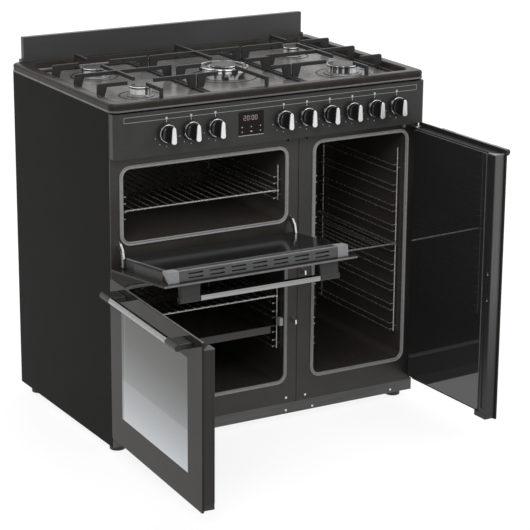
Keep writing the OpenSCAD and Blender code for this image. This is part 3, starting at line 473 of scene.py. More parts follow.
class Bench:
    """Modelling bench: primitives, edit-mode tools and modifiers for one mesh at a time."""

    def __init__(self, piece: bpy.types.Object) -> None:
        """Takes the mesh object that is worked on."""
        self.piece = piece

    @staticmethod
    def clear() -> None:
        """Leaves every object unselected."""
        bpy.ops.object.select_all(action="DESELECT")

    @classmethod
    def box(cls, x: Span, y: Span, z: Span) -> "Bench":
        """Adds a cube at its size and place.

        Args:
            x: Its left and right, in millimetres.
            y: Its front and back.
            z: Its foot and top.

        Returns:
            Its bench.
        """
        cls.clear()
        middle = [(low + high) / 2 * MM for low, high in (x, y, z)]
        bpy.ops.mesh.primitive_cube_add(size=1, location=middle)
        return cls._scaled([(high - low) * MM for low, high in (x, y, z)])

    @classmethod
    def plate(cls, edges: Edges, height: float) -> "Bench":
        """Adds a level plane.

        Args:
            edges: Left, right, low and high, in millimetres.
            height: Where it lies.

        Returns:
            Its bench.
        """
        cls.clear()
        left, right, low, high = edges
        bpy.ops.mesh.primitive_plane_add(
            size=1, location=((left + right) / 2 * MM, (low + high) / 2 * MM, height * MM))
        return cls._scaled([(right - left) * MM, (high - low) * MM, 1])

    @classmethod
    def disc(cls, radius: float, sides: int, height: float) -> "Bench":
        """Adds a filled circle about the Z axis.

        Args:
            radius: Its radius, in millimetres.
            sides: How many sides it has.
            height: Where it lies.

        Returns:
            Its bench.
        """
        cls.clear()
        bpy.ops.mesh.primitive_circle_add(vertices=sides, radius=radius * MM, fill_type="NGON",
                                          location=(0, 0, height * MM))
        return cls._scaled([1, 1, 1])

    @classmethod
    def _scaled(cls, scale: Sequence[float]) -> "Bench":
        """Puts the place and size of the new primitive in its mesh.

        Args:
            scale: Its size along each axis, in metres.

        Returns:
            Its bench.
        """
        piece = bpy.context.active_object
        piece.scale = scale
        bpy.ops.object.transform_apply(location=True, rotation=True, scale=True)
        return cls(piece)

    @classmethod
    def copy_of(cls, node: str, back: Optional[Matrix] = None,
                keep: Optional[Test] = None) -> "Bench":
        """Copies a CAD node's mesh and merges its loose triangles.

        Args:
            node: The node.
            back: Matrix that brings the copy to the place where it is drawn, if it is to move.
            keep: True for a face that stays, by its middle in millimetres and its normal.

        Returns:
            The copy's bench.
        """
        cls.clear()
        piece = bpy.data.objects.new(node + "_copy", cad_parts[node].data.copy())
        bpy.context.scene.collection.objects.link(piece)
        bench = cls(piece)
        if back is not None:
            bench.move(back)
        if keep is not None:
            bench.pick(lambda spot, normal: not keep(spot, normal))
            with bench.editing("FACE"):
                bpy.ops.mesh.delete(type="FACE")
        with bench.editing():
            bpy.ops.mesh.select_all(action="SELECT")
            bpy.ops.mesh.remove_doubles(threshold=CAD_MERGE)
            bpy.ops.mesh.dissolve_limited(angle_limit=math.radians(0.5))
        return bench

    @contextmanager
    def editing(self, kind: str = "VERT") -> Iterator[None]:
        """Edit mode on this mesh alone, for a with statement.

        Args:
            kind: What is selected there, VERT, EDGE or FACE.

        Returns:
            The context, which gives nothing.
        """
        self.activate()
        bpy.ops.object.mode_set(mode="EDIT")
        bpy.ops.mesh.select_mode(type="VERT")
        if kind != "VERT":
            bpy.ops.mesh.select_mode(type=kind)
        try:
            yield
        finally:
            bpy.ops.object.mode_set(mode="OBJECT")

    def unpick(self) -> bpy.types.Mesh:
        """Leaves nothing of the mesh selected.

        Returns:
            The mesh.
        """
        mesh = self.piece.data
        for element in (*mesh.vertices, *mesh.edges, *mesh.polygons):
            element.select = False
        return mesh

    def pick(self, test: Test) -> None:
        """Selects the faces that a test wants, by middle in millimetres and normal."""
        for face in self.unpick().polygons:
            face.select = test(face.center / MM, face.normal)

    def bevel(self, width: float, segments: int = 2, angle: float = 30.0) -> "Bench":
        """Rounds every edge that is sharper than an angle, with an applied modifier."""
        return self.modify("BEVEL", width=width * MM, segments=segments, limit_method="ANGLE",
                           angle_limit=math.radians(angle), use_clamp_overlap=True,
                           harden_normals=False)

    def modify(self, kind: str, **settings: object) -> "Bench":
        """Adds a modifier, sets it and applies it.

        Args:
            kind: The modifier's type.
            settings: Its settings by name.

        Returns:
            This bench.
        """
        self.activate()
        modifier = self.piece.modifiers.new(kind.title(), kind)
        for name, value in settings.items():
            setattr(modifier, name, value)
        bpy.ops.object.modifier_apply(modifier=modifier.name)
        return self

    def activate(self) -> None:
        """Makes this the only selected object."""
        self.clear()
        self.piece.select_set(True)
        bpy.context.view_layer.objects.active = self.piece

    def move(self, matrix: Matrix) -> "Bench":
        """Moves the mesh by a matrix whose lengths are in metres."""
        self.piece.data.transform(matrix)
        return self

    def carved(self, cutter: "Bench") -> "Bench":
        """Takes another mesh out of this one, and the other mesh away.

        Args:
            cutter: The other mesh.

        Returns:
            This bench.
        """
        self.modify("BOOLEAN", operation="DIFFERENCE", object=cutter.piece, solver="EXACT")
        bpy.data.objects.remove(cutter.piece)
        return self

    def joined(self, others: Sequence["Bench"]) -> "Bench":
        """Joins other meshes into this one.

        Args:
            others: The other meshes, if there are any.

        Returns:
            This bench.
        """
        if others:
            self.activate()
            for other in others:
                other.piece.select_set(True)
            bpy.ops.object.join()
        return self

    def closed(self) -> "Bench":
        """Merges doubles and turns all faces outwards.

        Returns:
            This bench.
        """
        with self.editing():
            bpy.ops.mesh.select_all(action="SELECT")
            bpy.ops.mesh.remove_doubles(threshold=MERGE)
            bpy.ops.mesh.normals_make_consistent(inside=False)
        return self

    def finish(self, name: str, body: str, slot: str, finish: Finish,
               smooth: float = 35.0) -> bpy.types.Object:
        """Names and dresses the finished piece.

        Args:
            name: The piece's name.
            body: The CAD body that it rides on.
            slot: Not used.
            finish: Its surface.
            smooth: Edges sharper than this stay sharp, in degrees.

        Returns:
            The piece.
        """
        self.activate()
        bpy.ops.object.shade_smooth_by_angle(angle=math.radians(smooth))
        self.modify("WEIGHTED_NORMAL", keep_sharp=True)
        self.piece.name = self.piece.data.name = name
        self.piece.data.materials.clear()
        self.piece.data.materials.append(FINISHES(finish))
        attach(self.piece, body)
        LOG.info("%s rides on %s", name, body)
        return self.piece


def as_one(benches: Sequence[Bench]) -> Bench:
    """Joins meshes into the first of them."""
    return benches[0].joined(benches[1:])


def around(middle: float, half: float) -> Span:
    """Span that reaches as far to both sides of a middle."""
    return (middle - half, middle + half)


def between(first: float, second: float) -> Span:
    """Span between two places, whichever of them is lower."""
    return (min(first, second), max(first, second))


def rounded_plate(edges: Edges, corner: float, height: float, segments: int) -> Bench:
    """Level plate with round corners.

    Args:
        edges: Left, right, low and high, in millimetres.
        corner: Corner radius.
        height: Where it lies.
        segments: Faces in each corner.

    Returns:
        Its bench.
    """
    bench = Bench.plate(edges, height)
    with bench.editing():
        bpy.ops.mesh.select_all(action="SELECT")
        bpy.ops.mesh.bevel(offset=corner * MM, segments=segments, affect="VERTICES")
    return bench


def lofted(loops: Sequence[tuple[Edges, float, float]], segments: int,
           high_cap: bool = False) -> Bench:
    """Skin through level rounded rectangles, open at the first.

    Args:
        loops: Edges, corner radius and height of each, from first to last.
        segments: Faces in each corner.
        high_cap: Whether the last loop is closed by a face.

    Returns:
        Its bench.
    """
    plates = [rounded_plate(edges, corner, height, segments) for edges, corner, height in loops]
    return bridged(plates, False, high_cap)


def bridged(plates: Sequence[Bench], low_cap: bool, high_cap: bool) -> Bench:
    """Joins plates of equal vertex counts and bridges each to the next.

    Args:
        plates: One bench for each loop.
        low_cap: Whether the first plate's face stays.
        high_cap: Whether the last plate's face stays.

    Returns:
        The bench of the skin.
    """
    bench = plates[0]
    count = len(bench.piece.data.vertices)
    last = len(plates) - 1
    for plate in plates[1:]:
        bench.joined([plate])
    caps = {0: low_cap, last: high_cap}
    for face in bench.unpick().polygons:
        face.select = not caps.get(min(face.vertices) // count, False)
    with bench.editing("FACE"):
        bpy.ops.mesh.delete(type="ONLY_FACE")
    for step in range(last):
        for edge in bench.unpick().edges:
            first, second = (vertex // count for vertex in edge.vertices)
            edge.select = first == second and first in (step, step + 1)
        with bench.editing("EDGE"):
            bpy.ops.mesh.bridge_edge_loops()
    return bench.closed()


def turned(profile: Pairs, sides: int) -> Bench:
    """Closed round piece about the Z axis, drawn out step by step from its first disc.

    Args:
        profile: Radius and height of each step, in millimetres.
        sides: Faces round the axis.

    Returns:
        Its bench.
    """
    radius, height = profile[0]
    bench = Bench.disc(radius, sides, height)
    with bench.editing("FACE"):
        bpy.ops.mesh.select_all(action="SELECT")
        for next_radius, next_height in profile[1:]:
            bpy.ops.mesh.extrude_region_move(
                TRANSFORM_OT_translate={"value": (0, 0, (next_height - height) * MM)})
            share = next_radius / radius
            bpy.ops.transform.resize(value=(share, share, 1), center_override=(0, 0, 0))
            radius, height = next_radius, next_height
    return bench.closed()


def ringed(profile: Pairs, sides: int = 64) -> Bench:
    """Closed ring about the Z axis.

    Args:
        profile: Radius and height of each corner of its section, in millimetres.
        sides: Faces round the axis.

    Returns:
        Its bench.
    """
    Bench.clear()
    bpy.ops.mesh.primitive_circle_add(vertices=len(profile), radius=1, fill_type="NOTHING")
    bench = Bench(bpy.context.active_object)
    for vertex, (radius, height) in zip(bench.piece.data.vertices, profile):
        vertex.co = Vector((radius, 0, height)) * MM
    bench.modify("SCREW", steps=sides, render_steps=sides, use_merge_vertices=True,
                 merge_threshold=MERGE)
    return bench.closed()


def rod(start: Point, end: Point, radius: float, sides: int) -> Bench:
    """Straight round bar with eased ends.

    Args:
        start: One end of its axis, in millimetres.
        end: The other end.
        radius: Its radius.
        sides: Faces round the axis.

    Returns:
        Its bench.
    """
    axis = Vector(end) - Vector(start)
    ease = min(radius * 0.25, 0.6)
    bench = turned([(radius - ease, 0), (radius, ease), (radius, axis.length - ease),
                    (radius - ease, axis.length)], sides)
    turn = axis.to_track_quat("Z", "Y").to_matrix().to_4x4()
    return bench.move(Matrix.Translation(Vector(start) * MM) @ turn)


def standing(bench: Bench, y: float) -> Bench:
    """Stands a level piece up, so that its top faces the front and lies at the plane y."""
    return bench.move(Axis.FRONT.at(0.0, y, 0.0))


def grown(edges: Edges, by: float) -> Edges:
    """Edges moved outwards."""
    left, right, low, high = edges
    return (left - by, right + by, low - by, high + by)


def redress(nodes: Iterable[str], finish: Finish) -> None:
    """Gives CAD nodes a better material.

    Args:
        nodes: The nodes.
        finish: Their surface.
    """
    for node in nodes:
        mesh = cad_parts[node].data
        for number in range(len(mesh.materials)):
            mesh.materials[number] = FINISHES(finish)
        if not mesh.materials:
            mesh.materials.append(FINISHES(finish))


def softened(node: str, body: str, slot: str, finish: Finish, width: float,
             segments: int = 2) -> bpy.types.Object:
    """Stands an eased copy in for a CAD node.

    Args:
        node: The node.
        body: Its body.
        slot: Its material slot.
        finish: Its surface.
        width: How far its edges are eased, in millimetres.
        segments: Faces across an eased edge.

    Returns:
        The new piece.
    """
    piece = Bench.copy_of(node).bevel(width, segments).finish(node + "_eased", body, slot, finish)
    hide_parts(node)
    return piece


def second_finish(piece: bpy.types.Object, finish: Finish, chosen: Sequence[bool]) -> None:
    """Gives some faces of a finished piece another material.

    Args:
        piece: The piece.
        finish: The other surface.
        chosen: For each face, whether it gets that surface.
    """
    number = len(piece.data.materials)
    piece.data.materials.append(FINISHES(finish))
    for face, wanted in zip(piece.data.polygons, chosen):
        if wanted:
            face.material_index = number


@dataclass
class Studio:
    """Camera, floor, lamps and the white surroundings.

    Lengths are in metres, angles in degrees and powers in watts, and the lens and the sensor are in
    millimetres.
    """

    place: Triple = (-2.5786, -4.6957, 1.9671)
    azimuth: float = -30.15
    elevation: float = 16.68
    roll: float = 0.41
    lens: float = 142.36
    sensor: float = 36.0
    # The floor: its size and height, how pale it shows near and far and between which squared
    # distances, and how much light it throws back.
    floor_size: float = 24.0
    floor_z: float = -0.0005
    floor_glow: Span = (0.84, 0.90)
    floor_reach: Span = (1.5, 20.0)
    floor_albedo: float = 0.22
    floor_cloud: float = 0.02
    # The world's strength as a light, and where the lamps point.
    light: float = 0.55
    aim: Triple = (0.0, 0.0, 0.5)

    def build(self) -> None:
        """Makes all of it."""
        self.camera()
        self.floor()
        self.surroundings()
        self.lamp("key_lamp", (-2.6, -3.4, 3.6), 1.8, 70.0)
        self.lamp("top_lamp", (0.6, 0.2, 3.8), 2.4, 45.0)
        self.lamp("fill_lamp", (3.6, -3.0, 2.4), 2.0, 35.0)

    def camera(self) -> None:
        """Places the camera at the photograph's viewpoint."""
        data = bpy.data.cameras.new("camera")
        data.lens = self.lens
        data.sensor_width = self.sensor
        data.sensor_fit = "HORIZONTAL"
        data.clip_start = 0.1
        data.clip_end = 60.0
        camera = bpy.data.objects.new("camera", data)
        bpy.context.scene.collection.objects.link(camera)
        azimuth, elevation = math.radians(self.azimuth), math.radians(self.elevation)
        look = Vector((-math.sin(azimuth) * math.cos(elevation),
                       math.cos(azimuth) * math.cos(elevation), -math.sin(elevation)))
        camera.location = self.place
        roll = Matrix.Rotation(math.radians(self.roll), 3, "Z")
        camera.rotation_euler = (look.to_track_quat("-Z", "Y").to_matrix() @ roll).to_euler()
        bpy.context.scene.camera = camera

    def floor(self) -> None:
        """Lays the pale floor."""
        Bench.clear()
        bpy.ops.mesh.primitive_plane_add(size=self.floor_size, location=(0, 0, self.floor_z))
        piece = bpy.context.active_object
        piece.name = "floor"
        board = ShaderBoard(bpy.data.materials.new("floor_white"))
        x, y, _ = board.axes()
        reach = board.ramp(x * x + y * y, *self.floor_reach)
        near, far = (grey(level) for level in self.floor_glow)
        plain, pale = grey(self.floor_albedo), grey(self.floor_albedo + self.floor_cloud)
        board.set(Base_Color=board.mix(board.noise(3.0), plain, pale), Roughness=0.6,
                  Specular_IOR_Level=0.1, Emission_Color=board.mix(reach, near, far),
                  Emission_Strength=board.seen())
        piece.data.materials.append(board.owner)

    def surroundings(self) -> None:
        """Makes the world white for the camera and for reflections, and softer as a light."""
        world = bpy.data.worlds.new("surroundings")
        bpy.context.scene.world = world
        board = ShaderBoard(world)
        strength = board.add("ShaderNodeMapRange", {}, {"Value": board.seen(),
                                                        "To Min": self.light, "To Max": 1.0})
        board.set(Color=solid(grey(1.0)), Strength=strength)

    def lamp(self, name: str, place: Point, size: float, power: float) -> None:
        """Hangs a soft square lamp that faces the cooker.

        Args:
            name: The lamp's name.
            place: Where it hangs.
            size: Its side.
            power: Its power.
        """
        data = bpy.data.lights.new(name, "AREA")
        data.size = size
        data.energy = power
        lamp = bpy.data.objects.new(name, data)
        bpy.context.scene.collection.objects.link(lamp)
        lamp.location = place
        way = Vector(self.aim) - Vector(place)
        lamp.rotation_euler = way.to_track_quat("-Z", "Y").to_euler()


@dataclass
class Cabinet:
    """Side panels, front frames, plinth, feet, back and splashback.

    A screw, a pin and the roller are given by radius and length, and their places by X and Z.
    """

    # The plinth's face, and how far the splashback is drawn in at each end.
    plinth_y: float = -276.2
    splash_in: float = 10.0
    screw: Span = (3.2, 1.4)
    frame_screws: Pairs = ((54.0, 65.0), (112.0, 64.0))
    plinth_screws: Pairs = ((54.0, 30.0), (135.0, 28.0), (-330.0, 30.0), (380.0, 30.0))
    pin: Span = (4.5, 9.0)
    pins: Pairs = ((54.0, 756.0), (109.0, 756.0))
    roller: Span = (5.0, 8.0)
    rollers: Pairs = ((400.0, 755.0),)
    clip: tuple[Span, Span, Span] = ((33.0, 43.8), (FRAMES_Y, FRAMES_Y + 15.0), (264.0, 286.0))

    def build(self) -> None:
        """Dresses the cabinet's pieces."""
        sides = softened("side_panels", "cooker", "black_enamel", Finishes.ENAMEL, 0.5)
        # Painted highlight along the side panels' front edges.
        second_finish(sides, Finishes.SHEET_EDGE, [f.normal.y < -0.5 for f in sides.data.polygons])
        softened("front_frames", "cooker", "frame_enamel", Finishes.FRAME, 0.9, 3)
        softened("plinth", "cooker", "plinth_metal", Finishes.PLINTH, 0.3)
        self.splashback()
        softened("feet", "cooker", "foot_plastic", Finishes.FOOT, 1.0)
        redress(["back_panel", "base_tray"], Finishes.ZINC)
        redress(["gas_rail"], Finishes.BRASS)
        redress(["oven_switches"], Finishes.SWITCH)
        redress([f"gas_spindle_{n}" for n in range(1, 6)], Finishes.SPINDLE)
        redress(["fan_motors", "fan_blade_main", "fan_blade_tall"], Finishes.MOTOR)
        self.fixings()

    def splashback(self) -> None:
        """Draws the splashback in at both ends."""
        bench = Bench.copy_of("splashback")
        for vertex in bench.piece.data.vertices:
            vertex.co.x -= math.copysign(self.splash_in * MM, vertex.co.x)
        piece = bench.bevel(0.5).finish("splashback_eased", "cooker", "black_enamel",
                                        Finishes.SPLASH)
        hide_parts("splashback")

    def fixings(self) -> None:
        """Adds the screws at the foot, pins and roller under the control panel, and the clip."""
        screws = self.studs(self.screw, FRAMES_Y, self.frame_screws)
        screws += self.studs(self.screw, self.plinth_y, self.plinth_screws)
        pins = self.studs(self.pin, FRAMES_Y, self.pins)
        rollers = self.studs(self.roller, FRAMES_Y, self.rollers)
        clip = Bench.box(*self.clip).bevel(2.0, 3)
        as_one(screws).finish("foot_screws", "cooker", "plinth_metal", Finishes.HINGE)
        as_one(pins).finish("door_stop_pins", "cooker", "frame_enamel", Finishes.KNOB)
        as_one(rollers).finish("hinge_roller", "cooker", "frame_enamel", Finishes.CAP)
        clip.finish("oven_clip", "cooker", "seal_rubber", Finishes.MARK)

    @staticmethod
    def studs(shape: Span, y: float, places: Pairs) -> list[Bench]:
        """Round heads that stand forward of a plane.

        Args:
            shape: Radius and length of each.
            y: The plane.
            places: X and Z of each.

        Returns:
            One bench for each.
        """
        radius, length = shape
        profile = [(radius, 0), (radius, length * 0.6), (radius * 0.8, length * 0.9),
                   (radius * 0.4, length)]
        return [turned(profile, 20).move(Axis.FRONT.at(x, y, z)) for x, z in places]


@dataclass
class Ovens:
    """Seals, cavities, racks and shelves. A seal's section goes inwards and forwards."""

    seals: tuple[Edges, ...] = ((-421.0, 54.0, 540.0, 742.0), (-421.0, 54.0, 106.0, 440.0),
                                (125.0, 417.0, 109.0, 747.0))
    corner: float = 29.0
    section: Pairs = ((0.0, 0.0), (0.0, 2.6), (0.6, 3.5), (1.6, 3.9), (2.6, 3.5), (3.2, 2.6),
                      (4.7, 2.0), (6.2, 2.6), (6.9, 3.5), (7.8, 3.9), (8.8, 3.5), (9.5, 2.6),
                      (9.5, 0.0))

    def build(self) -> None:
        """Makes the seals and dresses the rest."""
        seal = as_one([self.seal(edges) for edges in self.seals]).finish(
            "oven_gaskets", "cooker", "seal_rubber", Finishes.SEAL, 50)
        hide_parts("oven_seals")
        redress(["top_oven_liner", "main_oven_liner", "tall_oven_liner", "fan_covers",
                 "main_tray"], Finishes.OVEN)
        redress(["grill_element"], Finishes.ELEMENT)
        redress(["ladder_racks", "grill_shelf", "main_shelf", "tall_shelf"], Finishes.WIRE)

    def seal(self, edges: Edges) -> Bench:
        """One gasket within its outer edges, a ring with a bead along each side."""
        loops = [(grown(edges, -inset), self.corner - inset, rise) for inset, rise in self.section]
        return standing(lofted(loops, 10), FRAMES_Y)


@dataclass
class Door:
    """One oven door, drawn closed and swung to the place shown.

    Its edges go left, right, low and high. The catch is the place in X and Z where the cooker's
    door catch goes into the edge profile.
    """

    name: str
    edges: Edges
    inner: Edges
    pivot: Triple
    turn: Triple
    free_edge: FreeEdge
    window: Edges
    edge_finish: Finish
    cap_finish: Finish
    # The planes of the outer face, of the outer panel's back and of the inner glass.
    face_y: float = -316.0
    panel_y: float = -311.0
    glass_y: float = -282.0
    # The edge profile's width, the length of an end cap, and how far a side-hung door's profile is
    # drawn out past the frame.
    profile: float = 28.0
    end_cap: float = 30.0
    reach: float = 13.0
    # The slot round the door catch: half its width, its depth, and half its height.
    catch: Span = (0.0, 0.0)
    keeper_half: float = 4.5
    keeper_deep: float = 22.0
    keeper_rise: float = 13.0
    # The dark channel: its thickness, how far its recesses stay from its sides, from its ends and
    # from the catch, how deep they are, and how far from the catch its screws are.
    channel: float = 2.5
    channel_in: float = 8.0
    channel_end: float = 12.0
    channel_gap: float = 24.0
    recess: float = 0.8
    screw_rise: float = 34.0
    # The lid's height, and the foot's length and lower end.
    lid: float = 3.0
    foot: float = 46.0
    foot_low: float = 54.0
    # The slots of the grill door: from one to the next, half the length, the two rows behind the
    # outer panel, the width and the depth.
    slot_pitch: float = 58.0
    slot_half: float = 20.0
    slot_rows: Span = (7.0, 17.0)
    slot_wide: float = 4.0
    slot_deep: float = 12.0
    # The handle: the bar's radius, how far it is from the face, below the panel's upper edge and in
    # from its sides, and the lengths of a ferrule and of a bracket.
    bar_r: float = 8.5
    bar_reach: float = 38.0
    bar_drop: float = 22.0
    bar_inset: float = 45.0
    ferrule: float = 56.0
    bracket: float = 58.0

    @property
    def swing(self) -> Matrix:
        """Matrix that opens the closed door to the place shown.

        Returns:
            The matrix, with lengths in metres.
        """
        pivot = Matrix.Translation(Vector(self.pivot) * MM)
        turn = Euler([math.radians(a) for a in self.turn]).to_matrix().to_4x4()
        return pivot @ turn @ pivot.inverted()

    def drawn_out(self, bench: Bench) -> Bench:
        """Draws the free side of a side-hung door's closed copy out to its edge profile.

        Args:
            bench: The copy.

        Returns:
            The same bench.
        """
        middle = (self.inner[0] + self.inner[1]) / 2
        axis, way = self.free_edge.value
        for vertex in bench.piece.data.vertices:
            if axis == 0 and (vertex.co.x / MM - middle) * way > 0:
                vertex.co.x += way * self.reach * MM
        return bench

    def add(self, bench: Bench, part: str, slot: str, finish: Finish,
            stands_for: str = "") -> bpy.types.Object:
        """Swings, names and dresses one piece of the door.

        Args:
            bench: The piece, drawn closed.
            part: The last words of its name.
            slot: Its material slot.
            finish: Its surface.
            stands_for: The CAD node of this door that it replaces, if any.

        Returns:
            The piece.
        """
        piece = bench.move(self.swing).finish(f"{self.name}_{part}", self.name, slot, finish)
        if stands_for:
            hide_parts(f"{self.name}_{stands_for}")
        return piece

    def build(self) -> None:
        """Makes the door's pieces."""
        self.outer_glass()
        self.frame()
        self.inner_glass()
        self.handle()

    def outer_glass(self) -> None:
        """Makes the outer panel, a plate with ground edges and its own UV map in metres."""
        plate = rounded_plate(self.edges, 3.0, 0.0, 4)
        with plate.editing():
            bpy.ops.mesh.select_all(action="SELECT")
            bpy.ops.mesh.extrude_region_move(
                TRANSFORM_OT_translate={"value": (0, 0, (self.panel_y - self.face_y) * MM)})
        plate.closed().bevel(0.7, 2, 60)
        mesh = plate.piece.data
        layer = mesh.uv_layers.new(name="Plate")
        for loop in mesh.loops:
            spot = mesh.vertices[loop.vertex_index].co
            layer.data[loop.index].uv = (spot.x, spot.y)
        # The outer glass's window carries painted reflection, painted shade and a painted
        # highlight.
        finish = WindowFinish(self.name + "_glass_print", grey(0.022, 0.16), grey(0.030, 0.16),
                              0.07, 0.02, specular=0.10, cell=8.0, window=self.window)
        # Painted highlight on the plate's upper and lower ground edges.
        edges = [abs(face.normal.y) > 0.5 for face in mesh.polygons]
        standing(plate, self.panel_y)
        piece = self.add(plate, "outer_glass", "door_glass", finish, "panel")
        second_finish(piece, Finishes.GLASS_EDGE, edges)

    def frame(self) -> None:
        """Makes the dark frame, and the profile at the free edge with what closes its ends."""
        left, right, low, high = self.inner
        axis, way = self.free_edge.value
        free = {FreeEdge.LEFT: left, FreeEdge.RIGHT: right, FreeEdge.TOP: high}[self.free_edge]
        edge = free - way * self.profile
        near = 0.01

        def inward(spot: Vector, normal: Vector) -> bool:
            """True for the faces of the frame alone."""
            past = (spot[axis] - edge) * way
            return past < -near or (past < near and normal[axis] * way > 0.5)

        bench = self.drawn_out(Bench.copy_of(f"{self.name}_frame", self.swing.inverted(), inward))
        self.add(bench.bevel(0.5), "frame_body", "door_frame", Finishes.DOOR, "frame")
        if self.free_edge is FreeEdge.TOP:
            self.slotted_edge(left, right, edge, high)
        else:
            self.upright_edge(edge + way * self.reach, way, low, high)

    def upright_edge(self, inside: float, way: int, low: float, high: float) -> None:
        """Makes the free edge of a side-hung door: brushed side, dark channel, lid and foot.

        Args:
            inside: Where the profile meets the frame.
            way: 1 where it goes to the right from there, -1 to the left.
            low: The frame's lower edge.
            high: The frame's upper edge.
        """
        free = inside + way * self.profile
        x = between(inside, free)
        left, right = x
        seam = self.glass_y - self.channel
        top = high - self.lid
        middle, height = self.catch
        keeper = (around(middle, self.keeper_half),
                  (self.glass_y - self.keeper_deep, self.glass_y + 2.0),
                  around(height, self.keeper_rise))
        side = Bench.box(x, (self.panel_y, seam), (low, top)).bevel(0.8)
        self.add(side.carved(Bench.box(*keeper)), "edge_profile", "door_frame", self.edge_finish)
        face = Bench.box(x, (seam, self.glass_y), (low, top)).carved(Bench.box(*keeper))
        face.carved(as_one([
            Bench.box((left + self.channel_in, right - self.channel_in),
                      (seam + self.recess, self.glass_y + 1.0), span)
            for span in ((low + self.channel_end, height - self.channel_gap),
                         (height + self.channel_gap, top - self.channel_end))]))
        self.add(face, "edge_channel", "door_frame", Finishes.DARK_CAP)
        heads = [turned([(3.4, 0.0), (3.4, 0.6), (2.6, 1.1), (1.2, 1.3)], 20).move(
            Axis.BACK.at((inside + free) / 2, seam + self.recess, z))
            for z in around(height, self.screw_rise)]
        self.add(as_one(heads), "edge_screws", "door_frame", Finishes.HINGE)
        lid = Bench.box(x, (self.panel_y, self.glass_y), (top, high))
        lid.pick(lambda _, normal: normal.z > 0.5)
        with lid.editing("FACE"):
            for rim, sink in ((2.0, 0.0), (0.4, 0.8)):
                bpy.ops.mesh.inset(thickness=rim * MM, depth=-sink * MM, use_boundary=True)
        self.add(lid.bevel(0.4, 2, 40), "edge_lid", "door_frame", self.cap_finish)
        foot = Bench.box(between(free, free - way * self.foot), (self.panel_y, self.glass_y),
                         (self.foot_low, low))
        self.add(foot.bevel(1.2, 3), "edge_foot", "door_frame", Finishes.DARK_CAP)

    def slotted_edge(self, left: float, right: float, low: float, high: float) -> None:
        """Makes the slotted free edge of the grill door, and its two caps.

        Args:
            left: Its left end.
            right: Its right end.
            low: Its lower edge.
            high: Its upper edge.
        """
        y = (self.panel_y, self.glass_y)
        first, last = left + self.end_cap, right - self.end_cap
        middle = (left + right) / 2
        bench = Bench.box((first, last), y, (low, high)).bevel(2.2, 3)
        bench.carved(as_one([
            Bench.box(around(middle + step * self.slot_pitch, self.slot_half),
                      (self.panel_y + row, self.panel_y + row + self.slot_wide),
                      (high - self.slot_deep, high + 2.0)).bevel(1.2)
            for step in range(-3, 4) for row in self.slot_rows]))
        # Painted highlight on the slotted profile's upper inner edge.
        bright = [min(face.normal.y, face.normal.z) > 0.1 for face in bench.piece.data.polygons]
        piece = self.add(bench, "edge_profile", "door_frame", self.edge_finish)
        second_finish(piece, Finishes.SHEET_EDGE, bright)
        caps = [Bench.box(x, y, (low, high)).bevel(1.0, 3) for x in ((left, first), (last, right))]
        self.add(as_one(caps), "edge_caps", "door_frame", self.cap_finish)

    def inner_glass(self) -> None:
        """Dresses the inner glass, with a painted highlight on its ground edges."""
        bench = self.drawn_out(Bench.copy_of(f"{self.name}_glass", self.swing.inverted()))
        # Painted highlight on the ground edges.
        edges = [abs(face.normal.y) < 0.9 for face in bench.bevel(0.6).piece.data.polygons]
        dull = self.free_edge is FreeEdge.TOP
        finish = Finishes.DULL_GLASS if dull else Finishes.INNER_GLASS
        piece = self.add(bench, "inner_glass", "door_glass", finish, "glass")
        second_finish(piece, Finishes.GLASS_EDGE, edges)

    def handle(self) -> None:
        """Makes the bar, its two ferrules and its two wedge brackets."""
        left, right = self.edges[0] + self.bar_inset, self.edges[1] - self.bar_inset
        y, z = self.face_y - self.bar_reach, self.edges[3] - self.bar_drop
        bar = rod((left + self.ferrule, y, z), (right - self.ferrule, y, z), self.bar_r, 32)
        self.add(bar, "handle_bar", "handle_metal", Finishes.BAR, "handle")
        r, end = self.bar_r, self.ferrule
        profile = [(r - 1.1, 0), (r, 1.1), (r, end - 4), (r - 0.4, end - 3.6),
                   (r - 0.4, end - 2.6), (r, end - 2.2), (r, end)]
        ends = []
        for start, way, axis in ((left, 1, Axis.RIGHT), (right, -1, Axis.LEFT)):
            ends += [turned(profile, 32).move(axis.at(start, y, z)), self.wedge(start, way, y, z)]
        self.add(as_one(ends), "handle_ends", "handle_metal", Finishes.DARK_CAP)

    def wedge(self, start: float, way: int, y: float, z: float) -> Bench:
        """One bracket between the door and the end of its bar.

        Args:
            start: Where the handle ends.
            way: 1 where the handle goes to the right from there, -1 to the left.
            y: The bar's axis.
            z: The bar's height.

        Returns:
            Its bench.
        """
        base, thin = start + way * 3.0, self.bar_r - 1.5
        bench = Bench.box(between(base, start + way * self.bracket), (y, self.face_y),
                          around(z, thin))
        tip = start + way * (self.ferrule - 2.0)
        for vertex in bench.piece.data.vertices:
            spot = vertex.co / MM
            if spot.y < (y + self.face_y) / 2 and (spot.x - start) * way > 10.0:
                vertex.co.x = tip * MM
        return bench.bevel(2.5, 4)


